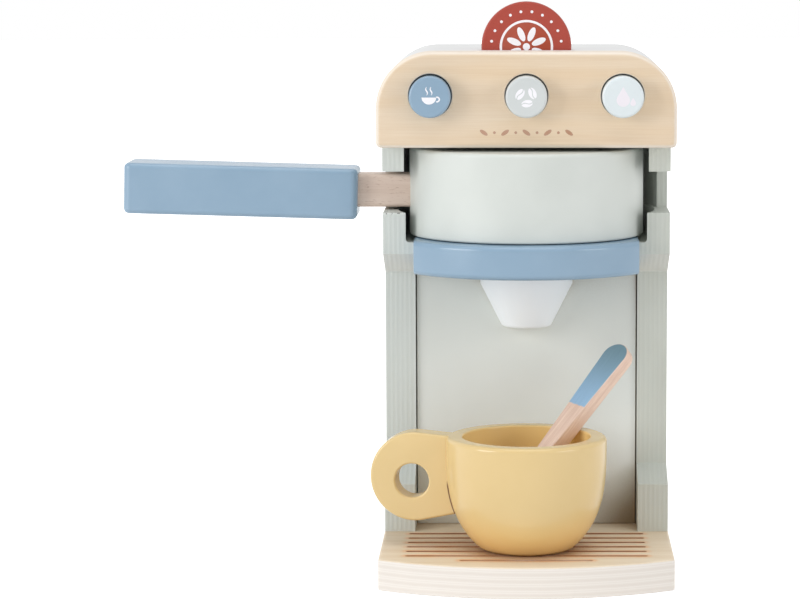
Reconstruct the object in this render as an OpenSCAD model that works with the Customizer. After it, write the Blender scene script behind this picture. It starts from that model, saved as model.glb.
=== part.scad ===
// Toy coffee maker in plywood and turned wood, with a lift-out coffee pad, three sprung
// buttons, a portafilter that turns in the column, a cup and a stirrer.
// X runs to the right, -Y to the front and +Z up, with z = 0 under the base board.

/* [Base board] */
// Depth of the base board from the middle of its bowed front to its back
base_d = 133; // [125:1:150]
// Thickness of the base board
base_t = 12; // [9:0.5:18]
// How far the front edge bows out ahead of its corners
base_bow = 15.5; // [8:0.5:18]
// Radius of the two front corners
base_corner_r = 3; // [1:0.5:5]
// Rounding along the board's upper and lower edges
base_edge_r = 1; // [0.4:0.1:1.5]
// How far the base stands out beside each foot of the column
base_overhang = 0.3; // [0:0.1:1]
// Number of burnt drip lines across the base, the short one at the front included
drip_lines = 7; // [3:1:7]
// Distance from one drip line to the next
drip_pitch = 8.4; // [5:0.2:8.6]
// Distance from the front of the base to the short drip line
drip_front = 13.4; // [10:0.2:16]
// Width of a drip line
drip_line_w = 1.8; // [1:0.1:2.5]
// Depth that the lines are burnt into the board
drip_line_depth = 0.3; // [0.2:0.05:0.6]
// Length of the long drip lines
drip_line_l = 92.5; // [70:0.5:96]
// Length of the short drip line at the front
drip_short_l = 50.5; // [30:0.5:60]

/* [Column] */
// Thickness of the two side panels
side_t = 12; // [10:0.5:15]
// How far each foot reaches ahead of the column
foot_reach = 14.5; // [8:0.5:18]
// Height of the foot's upright front
foot_h = 19; // [12:0.5:30]
// Height of the slope from the foot back to the column
foot_slope_h = 6; // [3:0.5:12]
// How far the bearers beside the drum reach ahead of the column
bearer_reach = 19; // [12:0.5:21]
// Height of the slope under a bearer
bearer_slope_h = 9; // [4:0.5:14]
// Height of a bearer's upright front, under the handle slot
bearer_h = 16.2; // [12:0.2:22]
// Clear height between the base and the shelf
bay_h = 104.6; // [95:0.1:120]
// Thickness of the panel behind the cup
bay_panel_t = 6; // [4:0.5:9]
// How far that panel stands back from the column's front
bay_panel_setback = 1.5; // [0.5:0.1:4]
// Thickness of the panel that closes the back
rear_t = 3; // [2.5:0.5:4]
// Seam left at each side of a board that stands between the side panels
seam = 0.4; // [0.1:0.05:0.5]

/* [Portafilter] */
// Diameter of the portafilter's drum
drum_d = 92.6; // [84:0.2:98]
// Height of the drum
drum_h = 34.5; // [30:0.1:40]
// Rounding of the drum's upper and lower edges
drum_edge_r = 1.5; // [0.5:0.1:3]
// Room between the drum and the pocket in each side panel, from the handle slot up
pocket_gap = 6.2; // [4:0.1:8]
// Room between the drum and the pocket below the handle slot
pocket_low_gap = 4.6; // [3:0.1:8]
// Wood left outside the pocket at its deepest
pocket_web = 3.7; // [3:0.1:5]
// Rounding left by the cutter at the foot of the pocket
pocket_foot_r = 1.4; // [0.5:0.1:3]
// How far the pocket is cut below the top of the shelf
pocket_drop = 1.7; // [0:0.1:2.5]
// Room behind the drum
drum_back_gap = 0.7; // [0.4:0.1:2]
// Width of the square neck between drum and grip
neck_w = 13; // [10:0.5:14]
// Rounding of the neck's four long edges
neck_edge_r = 1.5; // [0.5:0.1:2]
// Length of neck that shows between drum and grip
neck_l = 20.2; // [16:0.2:30]
// How deep the neck is let into the drum and into the grip
tenon_l = 18; // [12:1:24]
// Length of the grip
grip_l = 92; // [75:0.5:110]
// Height of the grip
grip_h = 20; // [18:0.5:24]
// Thickness of the grip from front to back
grip_d = 25; // [20:0.5:28]
// Rounding of the grip's long edges
grip_edge_r = 2; // [1:0.5:4]
// Rounding of the grip's four upright edges
grip_end_r = 3; // [2:0.5:6]
// How far the grip's middle lies below the neck's where they meet
grip_drop = 1.1; // [0:0.1:2.5]
// How far the grip rises towards its free end, in degrees
grip_rise = 1.6; // [0:0.1:3]
// Room under the neck in the handle slot
slot_floor_gap = 1.1; // [0.3:0.1:2]
// Room above the neck in the handle slot
slot_head_gap = 2.3; // [1:0.1:4]
// Room between the neck and the closed end of the slot
slot_stop_gap = 0.3; // [0.2:0.05:0.6]

/* [Shelf and spout] */
// Thickness of the shelf that carries the drum
shelf_t = 13.1; // [9:0.1:15]
// How far the shelf reaches ahead of the column
shelf_reach = 52.5; // [42:0.5:54]
// Radius of the shelf's bowed front
shelf_bow_r = 55; // [52:0.5:70]
// Rounding of the shelf's front edges
shelf_edge_r = 1.5; // [0.5:0.1:3]
// Diameter of the spout under the shelf
spout_d = 35; // [28:0.2:42]
// Height of the spout's straight upper part
spout_collar_h = 8.7; // [5:0.1:12]
// Height of the whole spout
spout_h = 24.2; // [18:0.1:32]
// Diameter of the spout's lower end
spout_tip_d = 20.8; // [14:0.2:24]
// Rounding of the spout's lower edge
spout_edge_r = 2; // [0.5:0.1:3]

/* [Head] */
// Height of the front panel
head_h = 37; // [34:0.1:42]
// How far the front panel and the cover overhang each side panel
head_overhang = 1.8; // [1:0.1:2.5]
// Radius of the head's two upper corners
head_r = 22; // [18:0.5:26]
// Radius of the front panel's two lower corners
face_corner_r = 2; // [1:0.5:4]
// Thickness of the front panel
face_t = 12; // [11:0.5:15]
// Rounding of the front panel's edges
face_edge_r = 1.2; // [0.5:0.1:2]
// How far the head's front stands ahead of the bearers
head_step = 3; // [1:0.5:5]
// Thickness of the bent cover over the head
cover_t = 4; // [3:0.5:5]
// Thickness of the board that closes the head from below
floor_t = 6; // [4:0.5:8]
// Room between the drum and the head
head_gap = 1.5; // [0.6:0.1:2]

/* [Buttons] */
// Diameter of the buttons
button_d = 16; // [12:0.5:18]
// Distance from the middle button to each outer one
button_pitch = 37; // [30:0.5:37]
// Height of the buttons above the front panel's lower edge
button_rise = 20.2; // [17:0.1:21]
// How far the buttons stand out of the front panel
button_proud = 6.5; // [4:0.1:9]
// Rounding of a button's front edge
button_edge_r = 1; // [0.5:0.1:2]
// Room round a button in its hole
button_gap = 0.4; // [0.2:0.05:0.6]
// How far a button can be pressed
button_travel = 3.5; // [2:0.1:4]
// Width of the flange that keeps a button in its hole
flange_w = 2; // [1.2:0.1:2.2]
// Thickness of that flange
flange_t = 2; // [1.5:0.1:2.5]
// Diameter of the blind bore for the spring in a button's back
spring_bore_d = 9; // [8:0.5:10]
// Wood left between that bore and the button's front
spring_bore_web = 5; // [4:0.5:8]
// Diameter of the spring wire
wire_d = 0.8; // [0.5:0.1:1]
// Number of turns of a spring
spring_turns = 6; // [4:1:7]
// Thickness of the board behind the buttons
button_board_t = 2.5; // [2:0.5:3]

/* [Coffee pad] */
// Diameter of the coffee pad
pad_d = 35; // [30:0.5:38]
// Thickness of the coffee pad
pad_t = 5; // [4:0.5:6]
// Rounding of the pad's rim
pad_edge_r = 0.8; // [0.3:0.1:1.5]
// How far the pad stands out of the head
pad_proud = 18.8; // [14:0.2:20]
// Room between the pad and the walls of its slot
pad_gap = 0.5; // [0.3:0.1:1]
// Room between the pad's rim and each end of the slot in the cover
pad_end_gap = 1.2; // [0.8:0.1:2]
// Wood left behind the pad in its holder
holder_wall = 5; // [3:0.5:10]
// Wood left in front of the pad in its holder
holder_front = 2; // [1.5:0.5:4]

/* [Cup] */
// Diameter of the cup
cup_d = 62; // [54:0.5:66]
// Height of the cup
cup_h = 44; // [36:0.5:52]
// Diameter that the cup stands on
cup_foot_d = 33.6; // [24:0.2:38]
// Thickness of the cup's wall
cup_wall = 6.4; // [5:0.1:8]
// Thickness of the cup's floor
cup_floor = 7; // [5:0.5:10]
// Rounding of the rim's outer edge
cup_rim_r = 1.8; // [1:0.1:2.8]
// Rounding of its inner edge
cup_inner_rim_r = 0.8; // [0.4:0.1:2]
// Distance from the front of the base to the cup
cup_front = 6; // [3:0.5:12]
// Height of the handle, and the diameter of its round outer end
handle_d = 34.6; // [28:0.2:38]
// Distance from the cup's side to the middle of that round end
handle_out = 12.5; // [11:0.1:16]
// How far the handle's highest point stands above the cup's rim
handle_proud = 1; // [0:0.1:2]
// How far its upper edge falls towards the cup, in degrees
handle_fall = 5; // [2:0.5:10]
// How far the handle's lower edge rises towards the cup, in degrees
handle_slope = 12; // [0:1:25]
// Thickness of the handle
handle_t = 10; // [8:0.5:12]
// Diameter of the finger hole
finger_d = 13.3; // [11:0.1:16]
// How far that hole lies below the middle of the handle's round end
finger_drop = 1.6; // [0:0.1:2]
// How far it lies further out than that middle
finger_out = 1; // [0:0.1:1.5]
// Rounding of the hole's two rims
finger_edge_r = 0.8; // [0.3:0.1:1.5]
// Rounding of the handle's edges
handle_edge_r = 1; // [0.5:0.1:3]
// How deep the handle is let into the cup's wall
handle_inset = 4; // [3:0.5:5.5]
// How far the handle is turned to the back from pointing left, in degrees
handle_turn = 8; // [0:1:30]

/* [Stirrer] */
// Length of the stirrer
stirrer_l = 87; // [74:1:95]
// Length of its straight lower part
stirrer_shank = 36; // [20:1:50]
// Width of the lower part
stirrer_w = 6.8; // [5:0.2:8]
// Width at its round tip
stirrer_tip_w = 11.6; // [8:0.2:13]
// Thickness of the lower part
stirrer_t = 6.8; // [5:0.2:8]
// Thickness at its tip
stirrer_tip_t = 5; // [3:0.2:6]
// Turn of the stirrer about its own length, from lying flat on the rim, in degrees
stirrer_twist = 12; // [-30:1:30]

/* [Dowels] */
// Diameter of the dowels in the column and the head
dowel_d = 6; // [4:0.5:8]
// Length of those dowels
dowel_l = 20; // [16:1:24]
// Room round a dowel in its hole
dowel_gap = 0.05; // [0.02:0.01:0.1]

/* [Hidden] */
$fn = 96;

// Colours of the paints and woods
mint = "#d7dcd5";
cover_white = "#e8e8e6";
blue = "#98b3c8";
pale_mint = "#e2eaeb";
birch = "#dec4a0";
limewood = "#e3ceaa";
beech = "#c8b4a5";
cream_yellow = "#e8cf94";
red_brown = "#ac4c3c";
spout_white = "#e4e8ec";
steel = "#b4b8bc";

// Small clearances and helpers
seat_gap = 0.3;
board_gap = 0.1;
least_r = 0.1;
cut = 1;
wide_fn = 180;
bow_steps = 40;

// Dowels: how much of the nearer board they go through, and where they sit
dowel_sink = 0.6;
spout_dowel_sink = 0.75;
base_dowel_runs = [0.15, 0.8];
shelf_dowel_y = [-10, 28];
front_dowel_wall = 1.5;
front_dowel_rise = 3;

// Plan: the column follows from the drum, the base from the column
pocket_r = drum_d / 2 + pocket_gap;
pocket_low_r = drum_d / 2 + pocket_low_gap;
column_w = 2 * (pocket_r + pocket_web);
inner_w = column_w - 2 * side_t;
base_w = column_w + 2 * base_overhang;
front_y = -base_d / 2;
back_y = base_d / 2;
drum_y = back_y - rear_t - drum_back_gap - drum_d / 2;
column_y = drum_y;
rear_y = back_y - rear_t;
bay_y = column_y + bay_panel_setback;
head_y = column_y - bearer_reach - head_step;
base_bow_r = (pow(base_w / 2, 2) + pow(base_bow, 2)) / (2 * base_bow);

// Levels
shelf_z = base_t + bay_h;
shelf_top = shelf_z + shelf_t;
drum_z = shelf_top + seat_gap;
neck_z = drum_z + drum_h / 2;
slot_z = neck_z - neck_w / 2 - slot_floor_gap;
slot_top = neck_z + neck_w / 2 + slot_head_gap;
slot_y = drum_y + neck_w / 2 + slot_stop_gap;
pocket_z = shelf_top - pocket_drop;
head_z = drum_z + drum_h + head_gap;
head_top = head_z + head_h;
head_w = column_w + 2 * head_overhang;

// Buttons, measured outwards from the front panel's face
button_z = head_z + button_rise;
flange_d = button_d + 2 * flange_w;
counterbore = flange_t + button_travel + 2 * seat_gap;
flange_back = -face_t + seat_gap + button_travel;
spring_r = spring_bore_d / 2 - wire_d / 2 - seat_gap;
spring_l = face_t + button_proud - spring_bore_web - 2 * board_gap;
spring_steps = 14;
spring_sides = 6;

// Coffee pad and its holder
board_y = head_y + button_board_t;
pad_y = board_y + holder_front + pad_gap + pad_t / 2;
pad_z = head_top + pad_proud - pad_d / 2;
pad_slot_w = pad_t + 2 * pad_gap;
pad_slot_l = pad_d + 2 * pad_end_gap;
holder_w = pad_d + 2 * holder_wall;

// Cup: radius by height, fuller near the rim, in steps that crowd towards the foot
cup_y = front_y + cup_front + cup_d / 2;
cup_steps = 24;
cup_crowding = 1.6;
cup_fullness = 3.4;
cup_belly = 0.87;

// Handle: its root goes in further at the bottom, where the cup is narrower
handle_rise = cup_h + handle_proud - handle_d / 2;
handle_reach = cup_radius(handle_rise, cup_h, cup_d / 2, cup_foot_d / 2) + handle_out;
handle_root = handle_out + handle_inset;
handle_root_slant = 3;
handle_steps = 24;

function cup_radius(h, height, top_r, foot_r) =
    foot_r + (top_r - foot_r) * pow(1 - pow(1 - min(h / height, 1), cup_fullness), cup_belly);

// Stirrer: it stands in the cup, leans on the rim and points to the right
stir_foot_rise = 5;
stir_foot_h = cup_floor + stir_foot_rise;
stir_foot_turn = 210;
stir_rim_turn = 38;
stir_rim_room = 2.7;
stir_foot_r = cup_radius(stir_foot_rise, cup_h - cup_floor, cup_d / 2 - cup_wall,
    cup_foot_d / 2 - cup_wall) - stirrer_t / 2 - seat_gap;
stir_rim_r = cup_d / 2 - cup_wall - stirrer_t / 2 - stir_rim_room;
stir_foot = [stir_foot_r * cos(stir_foot_turn), stir_foot_r * sin(stir_foot_turn), stir_foot_h];
stir_rim = [stir_rim_r * cos(stir_rim_turn), stir_rim_r * sin(stir_rim_turn), cup_h];
stir_way = stir_rim - stir_foot;
stir_lean = acos(stir_way[2] / norm(stir_way));
stir_turn = atan2(stir_way[1], stir_way[0]);

// Points of a quarter circle for a lathe profile, from angle a0 to a1 about (x, y)
function arc(x, y, r, a0, a1, steps = 6) =
    [for (i = [0:steps]) let (a = a0 + (a1 - a0) * i / steps) [x + r * cos(a), y + r * sin(a)]];

// Rectangle with rounded corners, from its lower left corner
module rounded_rect(w, h, r) {
    translate([r, 0]) square([w - 2 * r, h]);
    translate([0, r]) square([w, h - 2 * r]);
    for (x = [r, w - r], y = [r, h - r]) translate([x, y]) circle(r);
}

// Slot shape with round ends, centred on the origin
module round_slot(length, width) {
    square([length - width, width], center = true);
    for (side = [-1, 1]) translate([side * (length - width) / 2, 0]) circle(d = width);
}

// Disc with both edges rounded, standing on z = 0
module eased_disc(r, h, edge_r) {
    rotate_extrude() polygon(concat([[0, 0]], arc(r - edge_r, edge_r, edge_r, -90, 0),
        arc(r - edge_r, h - edge_r, edge_r, 0, 90), [[0, h]]));
}

// A dowel of the common size, centred on the origin along X, or the hole for one
module dowel(room = 0) {
    rotate([0, 90, 0]) cylinder(d = dowel_d + 2 * room, h = dowel_l + 2 * room, center = true);
}

// ---- Base ----

// Outline of the base board, drawn smaller all round by inset: two corners and the bow
module base_outline(inset) {
    bow_y = front_y + base_bow_r;
    corner_x = base_w / 2 - base_corner_r;
    corner_y = bow_y - sqrt(pow(base_bow_r - base_corner_r, 2) - pow(corner_x, 2));
    corner_a = atan2(bow_y - corner_y, corner_x);
    r = base_corner_r - inset;
    polygon(concat(
        arc(-corner_x, corner_y, r, 180, 180 + corner_a),
        arc(0, bow_y, base_bow_r - inset, 180 + corner_a, 360 - corner_a, bow_steps),
        arc(corner_x, corner_y, r, 360 - corner_a, 360),
        [[base_w / 2 - inset, back_y - inset], [inset - base_w / 2, back_y - inset]]
    ));
}

module drip_line(length) {
    linear_extrude(drip_line_depth + cut) round_slot(length, drip_line_w);
}

module base_board() {
    color(birch) difference() {
        hull() for (a = [0:30:90]) {
            rise = base_edge_r * (1 - cos(a));
            translate([0, 0, rise]) linear_extrude(base_t - 2 * rise) {
                base_outline(min(base_edge_r * (1 - sin(a)), base_corner_r - least_r));
            }
        }
        for (i = [0:drip_lines - 1]) {
            translate([0, front_y + drip_front + i * drip_pitch, base_t - drip_line_depth]) {
                drip_line(i == 0 ? drip_short_l : drip_line_l);
            }
        }
        base_dowel_places() dowel(dowel_gap);
    }
}

// Dowels between the base and the feet of the side panels
module base_dowel_places() {
    run = back_y - column_y;
    middle_z = base_t + dowel_l / 2 - base_t * dowel_sink;
    for (side = [-1, 1], share = base_dowel_runs) {
        translate([side * (column_w - side_t) / 2, column_y + run * share, middle_z]) {
            rotate([0, 90, 0]) children();
        }
    }
}

module base_dowels() {
    color(beech) base_dowel_places() dowel();
}

// ---- Column ----

// Side panel seen from the side: foot, column, bearer, handle slot and head, in Y and Z
module side_outline() {
    slope_z = slot_z - bearer_h;
    polygon([
        [back_y, base_t],
        [column_y - foot_reach, base_t],
        [column_y - foot_reach, base_t + foot_h],
        [column_y, base_t + foot_h + foot_slope_h],
        [column_y, slope_z - bearer_slope_h],
        [column_y - bearer_reach, slope_z],
        [column_y - bearer_reach, slot_z],
        [slot_y, slot_z],
        [slot_y, slot_top],
        [head_y, slot_top],
        [head_y, head_top],
        [back_y, head_top]
    ]);
}

// Front outline of the head, from its lower edge up, drawn smaller by inset
module head_outline(inset, foot_r) {
    half = head_w / 2 - inset;
    top_r = head_r - inset;
    intersection() {
        union() {
            translate([-half, 0]) square([2 * half, head_h - head_r]);
            translate([top_r - half, 0]) square([2 * (half - top_r), head_h - inset]);
            for (side = [-1, 1]) {
                translate([side * (half - top_r), head_h - head_r]) circle(top_r);
            }
        }
        translate([-half, inset]) rounded_rect(2 * half, 2 * head_h, foot_r - inset);
    }
}

// What lies under the cover: the head's inner outline, from y0 back to y1
module head_inside(y0, y1) {
    translate([0, y1, head_z]) rotate([90, 0, 0]) linear_extrude(y1 - y0) {
        inner_outline(cover_t + board_gap);
    }
}

// The head's outline without its lower edge, drawn smaller by wall
module inner_outline(wall) {
    half = head_w / 2 - wall;
    top_r = head_r - wall;
    intersection() {
        union() {
            translate([-half, -cut]) square([2 * half, head_h - head_r + cut]);
            translate([top_r - half, -cut]) {
                square([2 * (half - top_r), head_h - wall + cut]);
            }
            for (side = [-1, 1]) {
                translate([side * (half - top_r), head_h - head_r]) circle(top_r);
            }
        }
        translate([-half, -cut]) square([2 * half, head_h + cut]);
    }
}

// Round pocket that the drum turns in: narrower below the handle slot, with a rounded foot
module drum_pocket() {
    step = slot_z - pocket_z;
    top = head_z - pocket_z;
    translate([0, drum_y, pocket_z]) rotate_extrude($fn = wide_fn) polygon(concat(
        [[0, 0]],
        arc(pocket_low_r - pocket_foot_r, pocket_foot_r, pocket_foot_r, -90, 0),
        [[pocket_low_r, step], [pocket_r, step], [pocket_r, top], [0, top]]
    ));
}

module side_panel(side) {
    start = side < 0 ? -column_w / 2 : column_w / 2 - side_t;
    difference() {
        translate([start, 0, 0]) rotate([90, 0, 90]) linear_extrude(side_t) side_outline();
        drum_pocket();
        // rebate that lets the cover's sides down over the panel
        difference() {
            translate([-column_w, head_y - cut, head_z]) {
                cube([2 * column_w, base_d, head_h + cut]);
            }
            head_inside(head_y - 2 * cut, back_y + base_d);
        }
        base_dowel_places() dowel(dowel_gap);
        shelf_dowel_places() dowel(dowel_gap);
        front_dowel_places() dowel(dowel_gap);
    }
}

module left_side_panel() {
    color(mint) side_panel(-1);
}

module right_side_panel() {
    color(mint) side_panel(1);
}

module bay_panel() {
    width = inner_w - 2 * seam;
    color(mint) difference() {
        translate([-width / 2, bay_y, base_t]) cube([width, bay_panel_t, bay_h]);
        spout_dowel_place() dowel(dowel_gap);
    }
}

module rear_panel() {
    width = inner_w - 2 * seam;
    color(mint) intersection() {
        translate([-width / 2, rear_y, base_t]) cube([width, rear_t, head_top - base_t]);
        union() {
            translate([-column_w / 2, 0, 0]) cube([column_w, base_d, head_z]);
            head_inside(0, base_d);
        }
    }
}

// ---- Shelf and spout ----

module filter_shelf() {
    width = inner_w - 2 * seam;
    shelf_front = column_y - shelf_reach;
    color(blue) difference() {
        intersection() {
            union() {
                translate([0, shelf_front + shelf_bow_r, shelf_z]) {
                    eased_disc(shelf_bow_r, shelf_t, shelf_edge_r, $fn = wide_fn);
                }
                translate([-width / 2, shelf_front + shelf_bow_r, shelf_z]) {
                    cube([width, base_d, shelf_t]);
                }
            }
            translate([-width / 2, shelf_front - cut, shelf_z]) {
                cube([width, rear_y - shelf_front + cut, shelf_t]);
            }
        }
        shelf_dowel_places() dowel(dowel_gap);
    }
}

// Dowels from the side panels into the edges of the shelf
module shelf_dowel_places() {
    side_x = inner_w / 2 - dowel_l / 2 + side_t * dowel_sink;
    for (side = [-1, 1], y = shelf_dowel_y) {
        translate([side * side_x, column_y + y, shelf_z + shelf_t / 2]) children();
    }
}

module shelf_dowels() {
    color(beech) shelf_dowel_places() dowel();
}

// Half-turned spout, flat against the panel behind it and up under the shelf
module spout() {
    r = spout_d / 2;
    tip_r = spout_tip_d / 2;
    lean = atan((r - tip_r) / (spout_h - spout_collar_h));
    color(spout_white) difference() {
        translate([0, bay_y, shelf_z - spout_h]) rotate_extrude() polygon(concat(
            [[0, 0]],
            arc(tip_r - spout_edge_r, spout_edge_r, spout_edge_r, -90, -lean),
            [[r, spout_h - spout_collar_h], [r, spout_h], [0, spout_h]]
        ));
        translate([-spout_d, bay_y, shelf_z - spout_h - cut]) {
            cube([2 * spout_d, spout_d, spout_h + 2 * cut]);
        }
        spout_dowel_place() dowel(dowel_gap);
    }
}

module spout_dowel_place() {
    middle_y = bay_y + bay_panel_t * spout_dowel_sink - dowel_l / 2;
    translate([0, middle_y, shelf_z - spout_collar_h]) rotate([0, 0, 90]) children();
}

module spout_dowel() {
    color(beech) spout_dowel_place() dowel();
}

// ---- Head ----

module head_floor() {
    width = inner_w - 2 * seam;
    color(mint) translate([-width / 2, head_y, head_z]) {
        cube([width, rear_y - head_y, floor_t]);
    }
}

module button_places() {
    for (i = [-1:1]) button_place(i) children();
}

// Frame of one button: z = 0 on the front panel's face, z up out of it
module button_place(i) {
    translate([i * button_pitch, head_y - face_t, button_z]) rotate([90, 0, 0]) children();
}

module front_panel() {
    color(limewood) difference() {
        translate([0, head_y, head_z]) rotate([90, 0, 0]) hull() for (a = [0:30:90]) {
            rise = face_edge_r * (1 - cos(a));
            translate([0, 0, rise]) linear_extrude(face_t - 2 * rise) {
                head_outline(face_edge_r * (1 - sin(a)), face_corner_r);
            }
        }
        button_places() {
            translate([0, 0, -face_t - cut]) {
                cylinder(d = button_d + 2 * button_gap, h = face_t + 2 * cut);
                cylinder(d = flange_d + 2 * button_gap, h = counterbore + cut);
            }
        }
        front_dowel_places() dowel(dowel_gap);
    }
}

// Dowels from the front panel into the side panels' front edges, below the outer buttons
module front_dowel_places() {
    x = inner_w / 2 + dowel_d / 2 + front_dowel_wall;
    middle_y = head_y + dowel_l / 2 - face_t * dowel_sink;
    z = head_z + dowel_d / 2 + front_dowel_rise;
    for (side = [-1, 1]) {
        translate([side * x, middle_y, z]) rotate([0, 0, 90]) children();
    }
}

module front_panel_dowels() {
    color(beech) front_dowel_places() dowel();
}

module top_cover() {
    color(cover_white) difference() {
        translate([0, back_y, head_z]) rotate([90, 0, 0]) linear_extrude(back_y - head_y) {
            difference() {
                intersection() {
                    inner_outline(0);
                    translate([-head_w / 2, 0]) square([head_w, head_h]);
                }
                inner_outline(cover_t);
            }
        }
        translate([0, pad_y, head_top - 2 * cover_t]) {
            linear_extrude(3 * cover_t) round_slot(pad_slot_l, pad_slot_w);
        }
    }
}

module button_board() {
    width = inner_w - 2 * seam;
    color(birch) intersection() {
        translate([-width / 2, head_y, head_z + floor_t]) {
            cube([width, button_board_t, head_h - floor_t]);
        }
        head_inside(head_y - cut, back_y);
    }
}

// Block with a half-round pocket that the coffee pad stands in
module pad_holder() {
    top = head_top - cover_t - board_gap;
    color(birch) difference() {
        translate([-holder_w / 2, board_y, head_z + floor_t]) {
            cube([holder_w, holder_front + pad_slot_w + holder_wall, top - head_z - floor_t]);
        }
        translate([0, pad_y + pad_slot_w / 2, pad_z]) rotate([90, 0, 0]) {
            cylinder(d = pad_d + 2 * seat_gap, h = pad_slot_w);
        }
    }
}

// ---- Buttons ----

// Turned button: round front edge, flange behind the panel, blind bore for the spring
module button() {
    r = button_d / 2;
    flange_front = flange_back + flange_t;
    rotate_extrude() polygon(concat(
        [[0, button_proud - spring_bore_web], [spring_bore_d / 2, button_proud - spring_bore_web],
         [spring_bore_d / 2, flange_back], [flange_d / 2, flange_back],
         [flange_d / 2, flange_front], [r, flange_front]],
        arc(r - button_edge_r, button_proud - button_edge_r, button_edge_r, 0, 90),
        [[0, button_proud]]
    ));
}

module button_left() {
    color(blue) button_place(-1) button();
}

module button_middle() {
    color(mint) button_place(0) button();
}

module button_right() {
    color(pale_mint) button_place(1) button();
}

// Coil spring along +Z from z = 0, with a ring of points at each step of its helix
module coil_spring(length, r, wire_r, turns) {
    rings = turns * spring_steps;
    climb = (length - 2 * wire_r) / rings;
    points = [for (i = [0:rings], j = [0:spring_sides - 1])
        let (turn = 360 * i / spring_steps, a = 360 * j / spring_sides, out = r + wire_r * cos(a))
        [out * cos(turn), out * sin(turn), wire_r + climb * i + wire_r * sin(a)]];
    skin = [for (i = [0:rings - 1], j = [0:spring_sides - 1])
        let (k = (j + 1) % spring_sides, a = i * spring_sides, b = a + spring_sides)
        [a + j, b + j, b + k, a + k]];
    first = [[for (j = [0:spring_sides - 1]) j]];
    last = [[for (j = [spring_sides - 1:-1:0]) rings * spring_sides + j]];
    polyhedron(points, concat(skin, first, last), convexity = 10);
}

module spring(i) {
    color(steel) button_place(i) translate([0, 0, board_gap - face_t]) {
        coil_spring(spring_l, spring_r, wire_d / 2, spring_turns);
    }
}

module spring_left() {
    spring(-1);
}

module spring_middle() {
    spring(0);
}

module spring_right() {
    spring(1);
}

// ---- Portafilter ----

// Square neck with eased edges, along -X from the drum's inside to the grip's inside
module neck_bar(room = 0) {
    w = neck_w + 2 * room;
    reach = neck_l + 2 * tenon_l + 2 * room;
    translate([-drum_d / 2 + tenon_l + room, drum_y, neck_z]) rotate([0, -90, 0]) {
        translate([-w / 2, -w / 2, 0]) {
            linear_extrude(reach) rounded_rect(w, w, neck_edge_r + room);
        }
    }
}

module portafilter_drum() {
    color(mint) difference() {
        translate([0, drum_y, drum_z]) eased_disc(drum_d / 2, drum_h, drum_edge_r, $fn = wide_fn);
        neck_bar(dowel_gap);
    }
}

module portafilter_neck() {
    color(beech) neck_bar();
}

// Block with eased edges: the outlines from above, from the front and from the end meet
module grip_block() {
    intersection() {
        translate([-grip_l, -grip_d / 2, -grip_h / 2]) linear_extrude(grip_h) {
            rounded_rect(grip_l, grip_d, grip_end_r);
        }
        translate([-grip_l, grip_d / 2, -grip_h / 2]) rotate([90, 0, 0]) {
            linear_extrude(grip_d) rounded_rect(grip_l, grip_h, grip_edge_r);
        }
        translate([-grip_l, -grip_d / 2, -grip_h / 2]) rotate([90, 0, 90]) {
            linear_extrude(grip_l) rounded_rect(grip_d, grip_h, grip_edge_r);
        }
    }
}

module portafilter_grip() {
    color(blue) difference() {
        translate([-drum_d / 2 - neck_l, drum_y, neck_z - grip_drop]) {
            rotate([0, grip_rise, 0]) grip_block();
        }
        neck_bar(dowel_gap);
    }
}

// ---- Coffee pad ----

module coffee_pad() {
    color(red_brown) translate([0, pad_y + pad_t / 2, pad_z]) rotate([90, 0, 0]) {
        eased_disc(pad_d / 2, pad_t, pad_edge_r);
    }
}

// ---- Cup and stirrer ----

module at_cup() {
    translate([0, cup_y, base_t]) children();
}

module cup_body() {
    r = cup_d / 2;
    inner_r = r - cup_wall;
    inner_foot_r = cup_foot_d / 2 - cup_wall;
    depth = cup_h - cup_floor;
    outside = [for (i = [0:cup_steps - 2]) let (h = cup_h * pow(i / cup_steps, cup_crowding))
        [cup_radius(h, cup_h, r, cup_foot_d / 2), h]];
    inside = [for (i = [cup_steps - 2:-1:0]) let (h = depth * pow(i / cup_steps, cup_crowding))
        [cup_radius(h, depth, inner_r, inner_foot_r), cup_floor + h]];
    rotate_extrude() polygon(concat(
        [[0, 0]], outside,
        arc(r - cup_rim_r, cup_h - cup_rim_r, cup_rim_r, 0, 90),
        arc(inner_r + cup_inner_rim_r, cup_h - cup_inner_rim_r, cup_inner_rim_r, 90, 180),
        inside, [[0, cup_floor]]
    ));
}

// Frame of the handle: z = 0 on its back, z up towards the front, x towards the cup
module at_handle() {
    rotate([0, 0, -handle_turn]) translate([-handle_reach, handle_t / 2, handle_rise]) {
        rotate([90, 0, 0]) children();
    }
}

// Outline of the handle, drawn smaller by inset: round outside, with an upper edge that
// falls and a lower edge that rises to the root in the cup's wall
module handle_outline(inset) {
    r = handle_d / 2 - inset;
    high_a = 90 - handle_fall;
    high_x = handle_root - inset;
    high_y = r * sin(high_a) - (high_x - r * cos(high_a)) * tan(handle_fall);
    low_a = handle_slope - 90;
    low_x = handle_root + handle_root_slant - inset;
    low_y = r * sin(low_a) + (low_x - r * cos(low_a)) * tan(handle_slope);
    outer_end = arc(0, 0, r, high_a, 360 + low_a, handle_steps);
    polygon(concat(outer_end, [[low_x, low_y], [high_x, high_y]]));
}

// Finger hole with both rims rounded
module finger_hole() {
    rim = finger_d / 2 + finger_edge_r;
    translate([-finger_out, -finger_drop, 0]) rotate_extrude() polygon(concat(
        [[0, -cut], [rim, -cut]],
        arc(rim, finger_edge_r, finger_edge_r, 270, 180),
        arc(rim, handle_t - finger_edge_r, finger_edge_r, 180, 90),
        [[rim, handle_t + cut], [0, handle_t + cut]]
    ));
}

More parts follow.
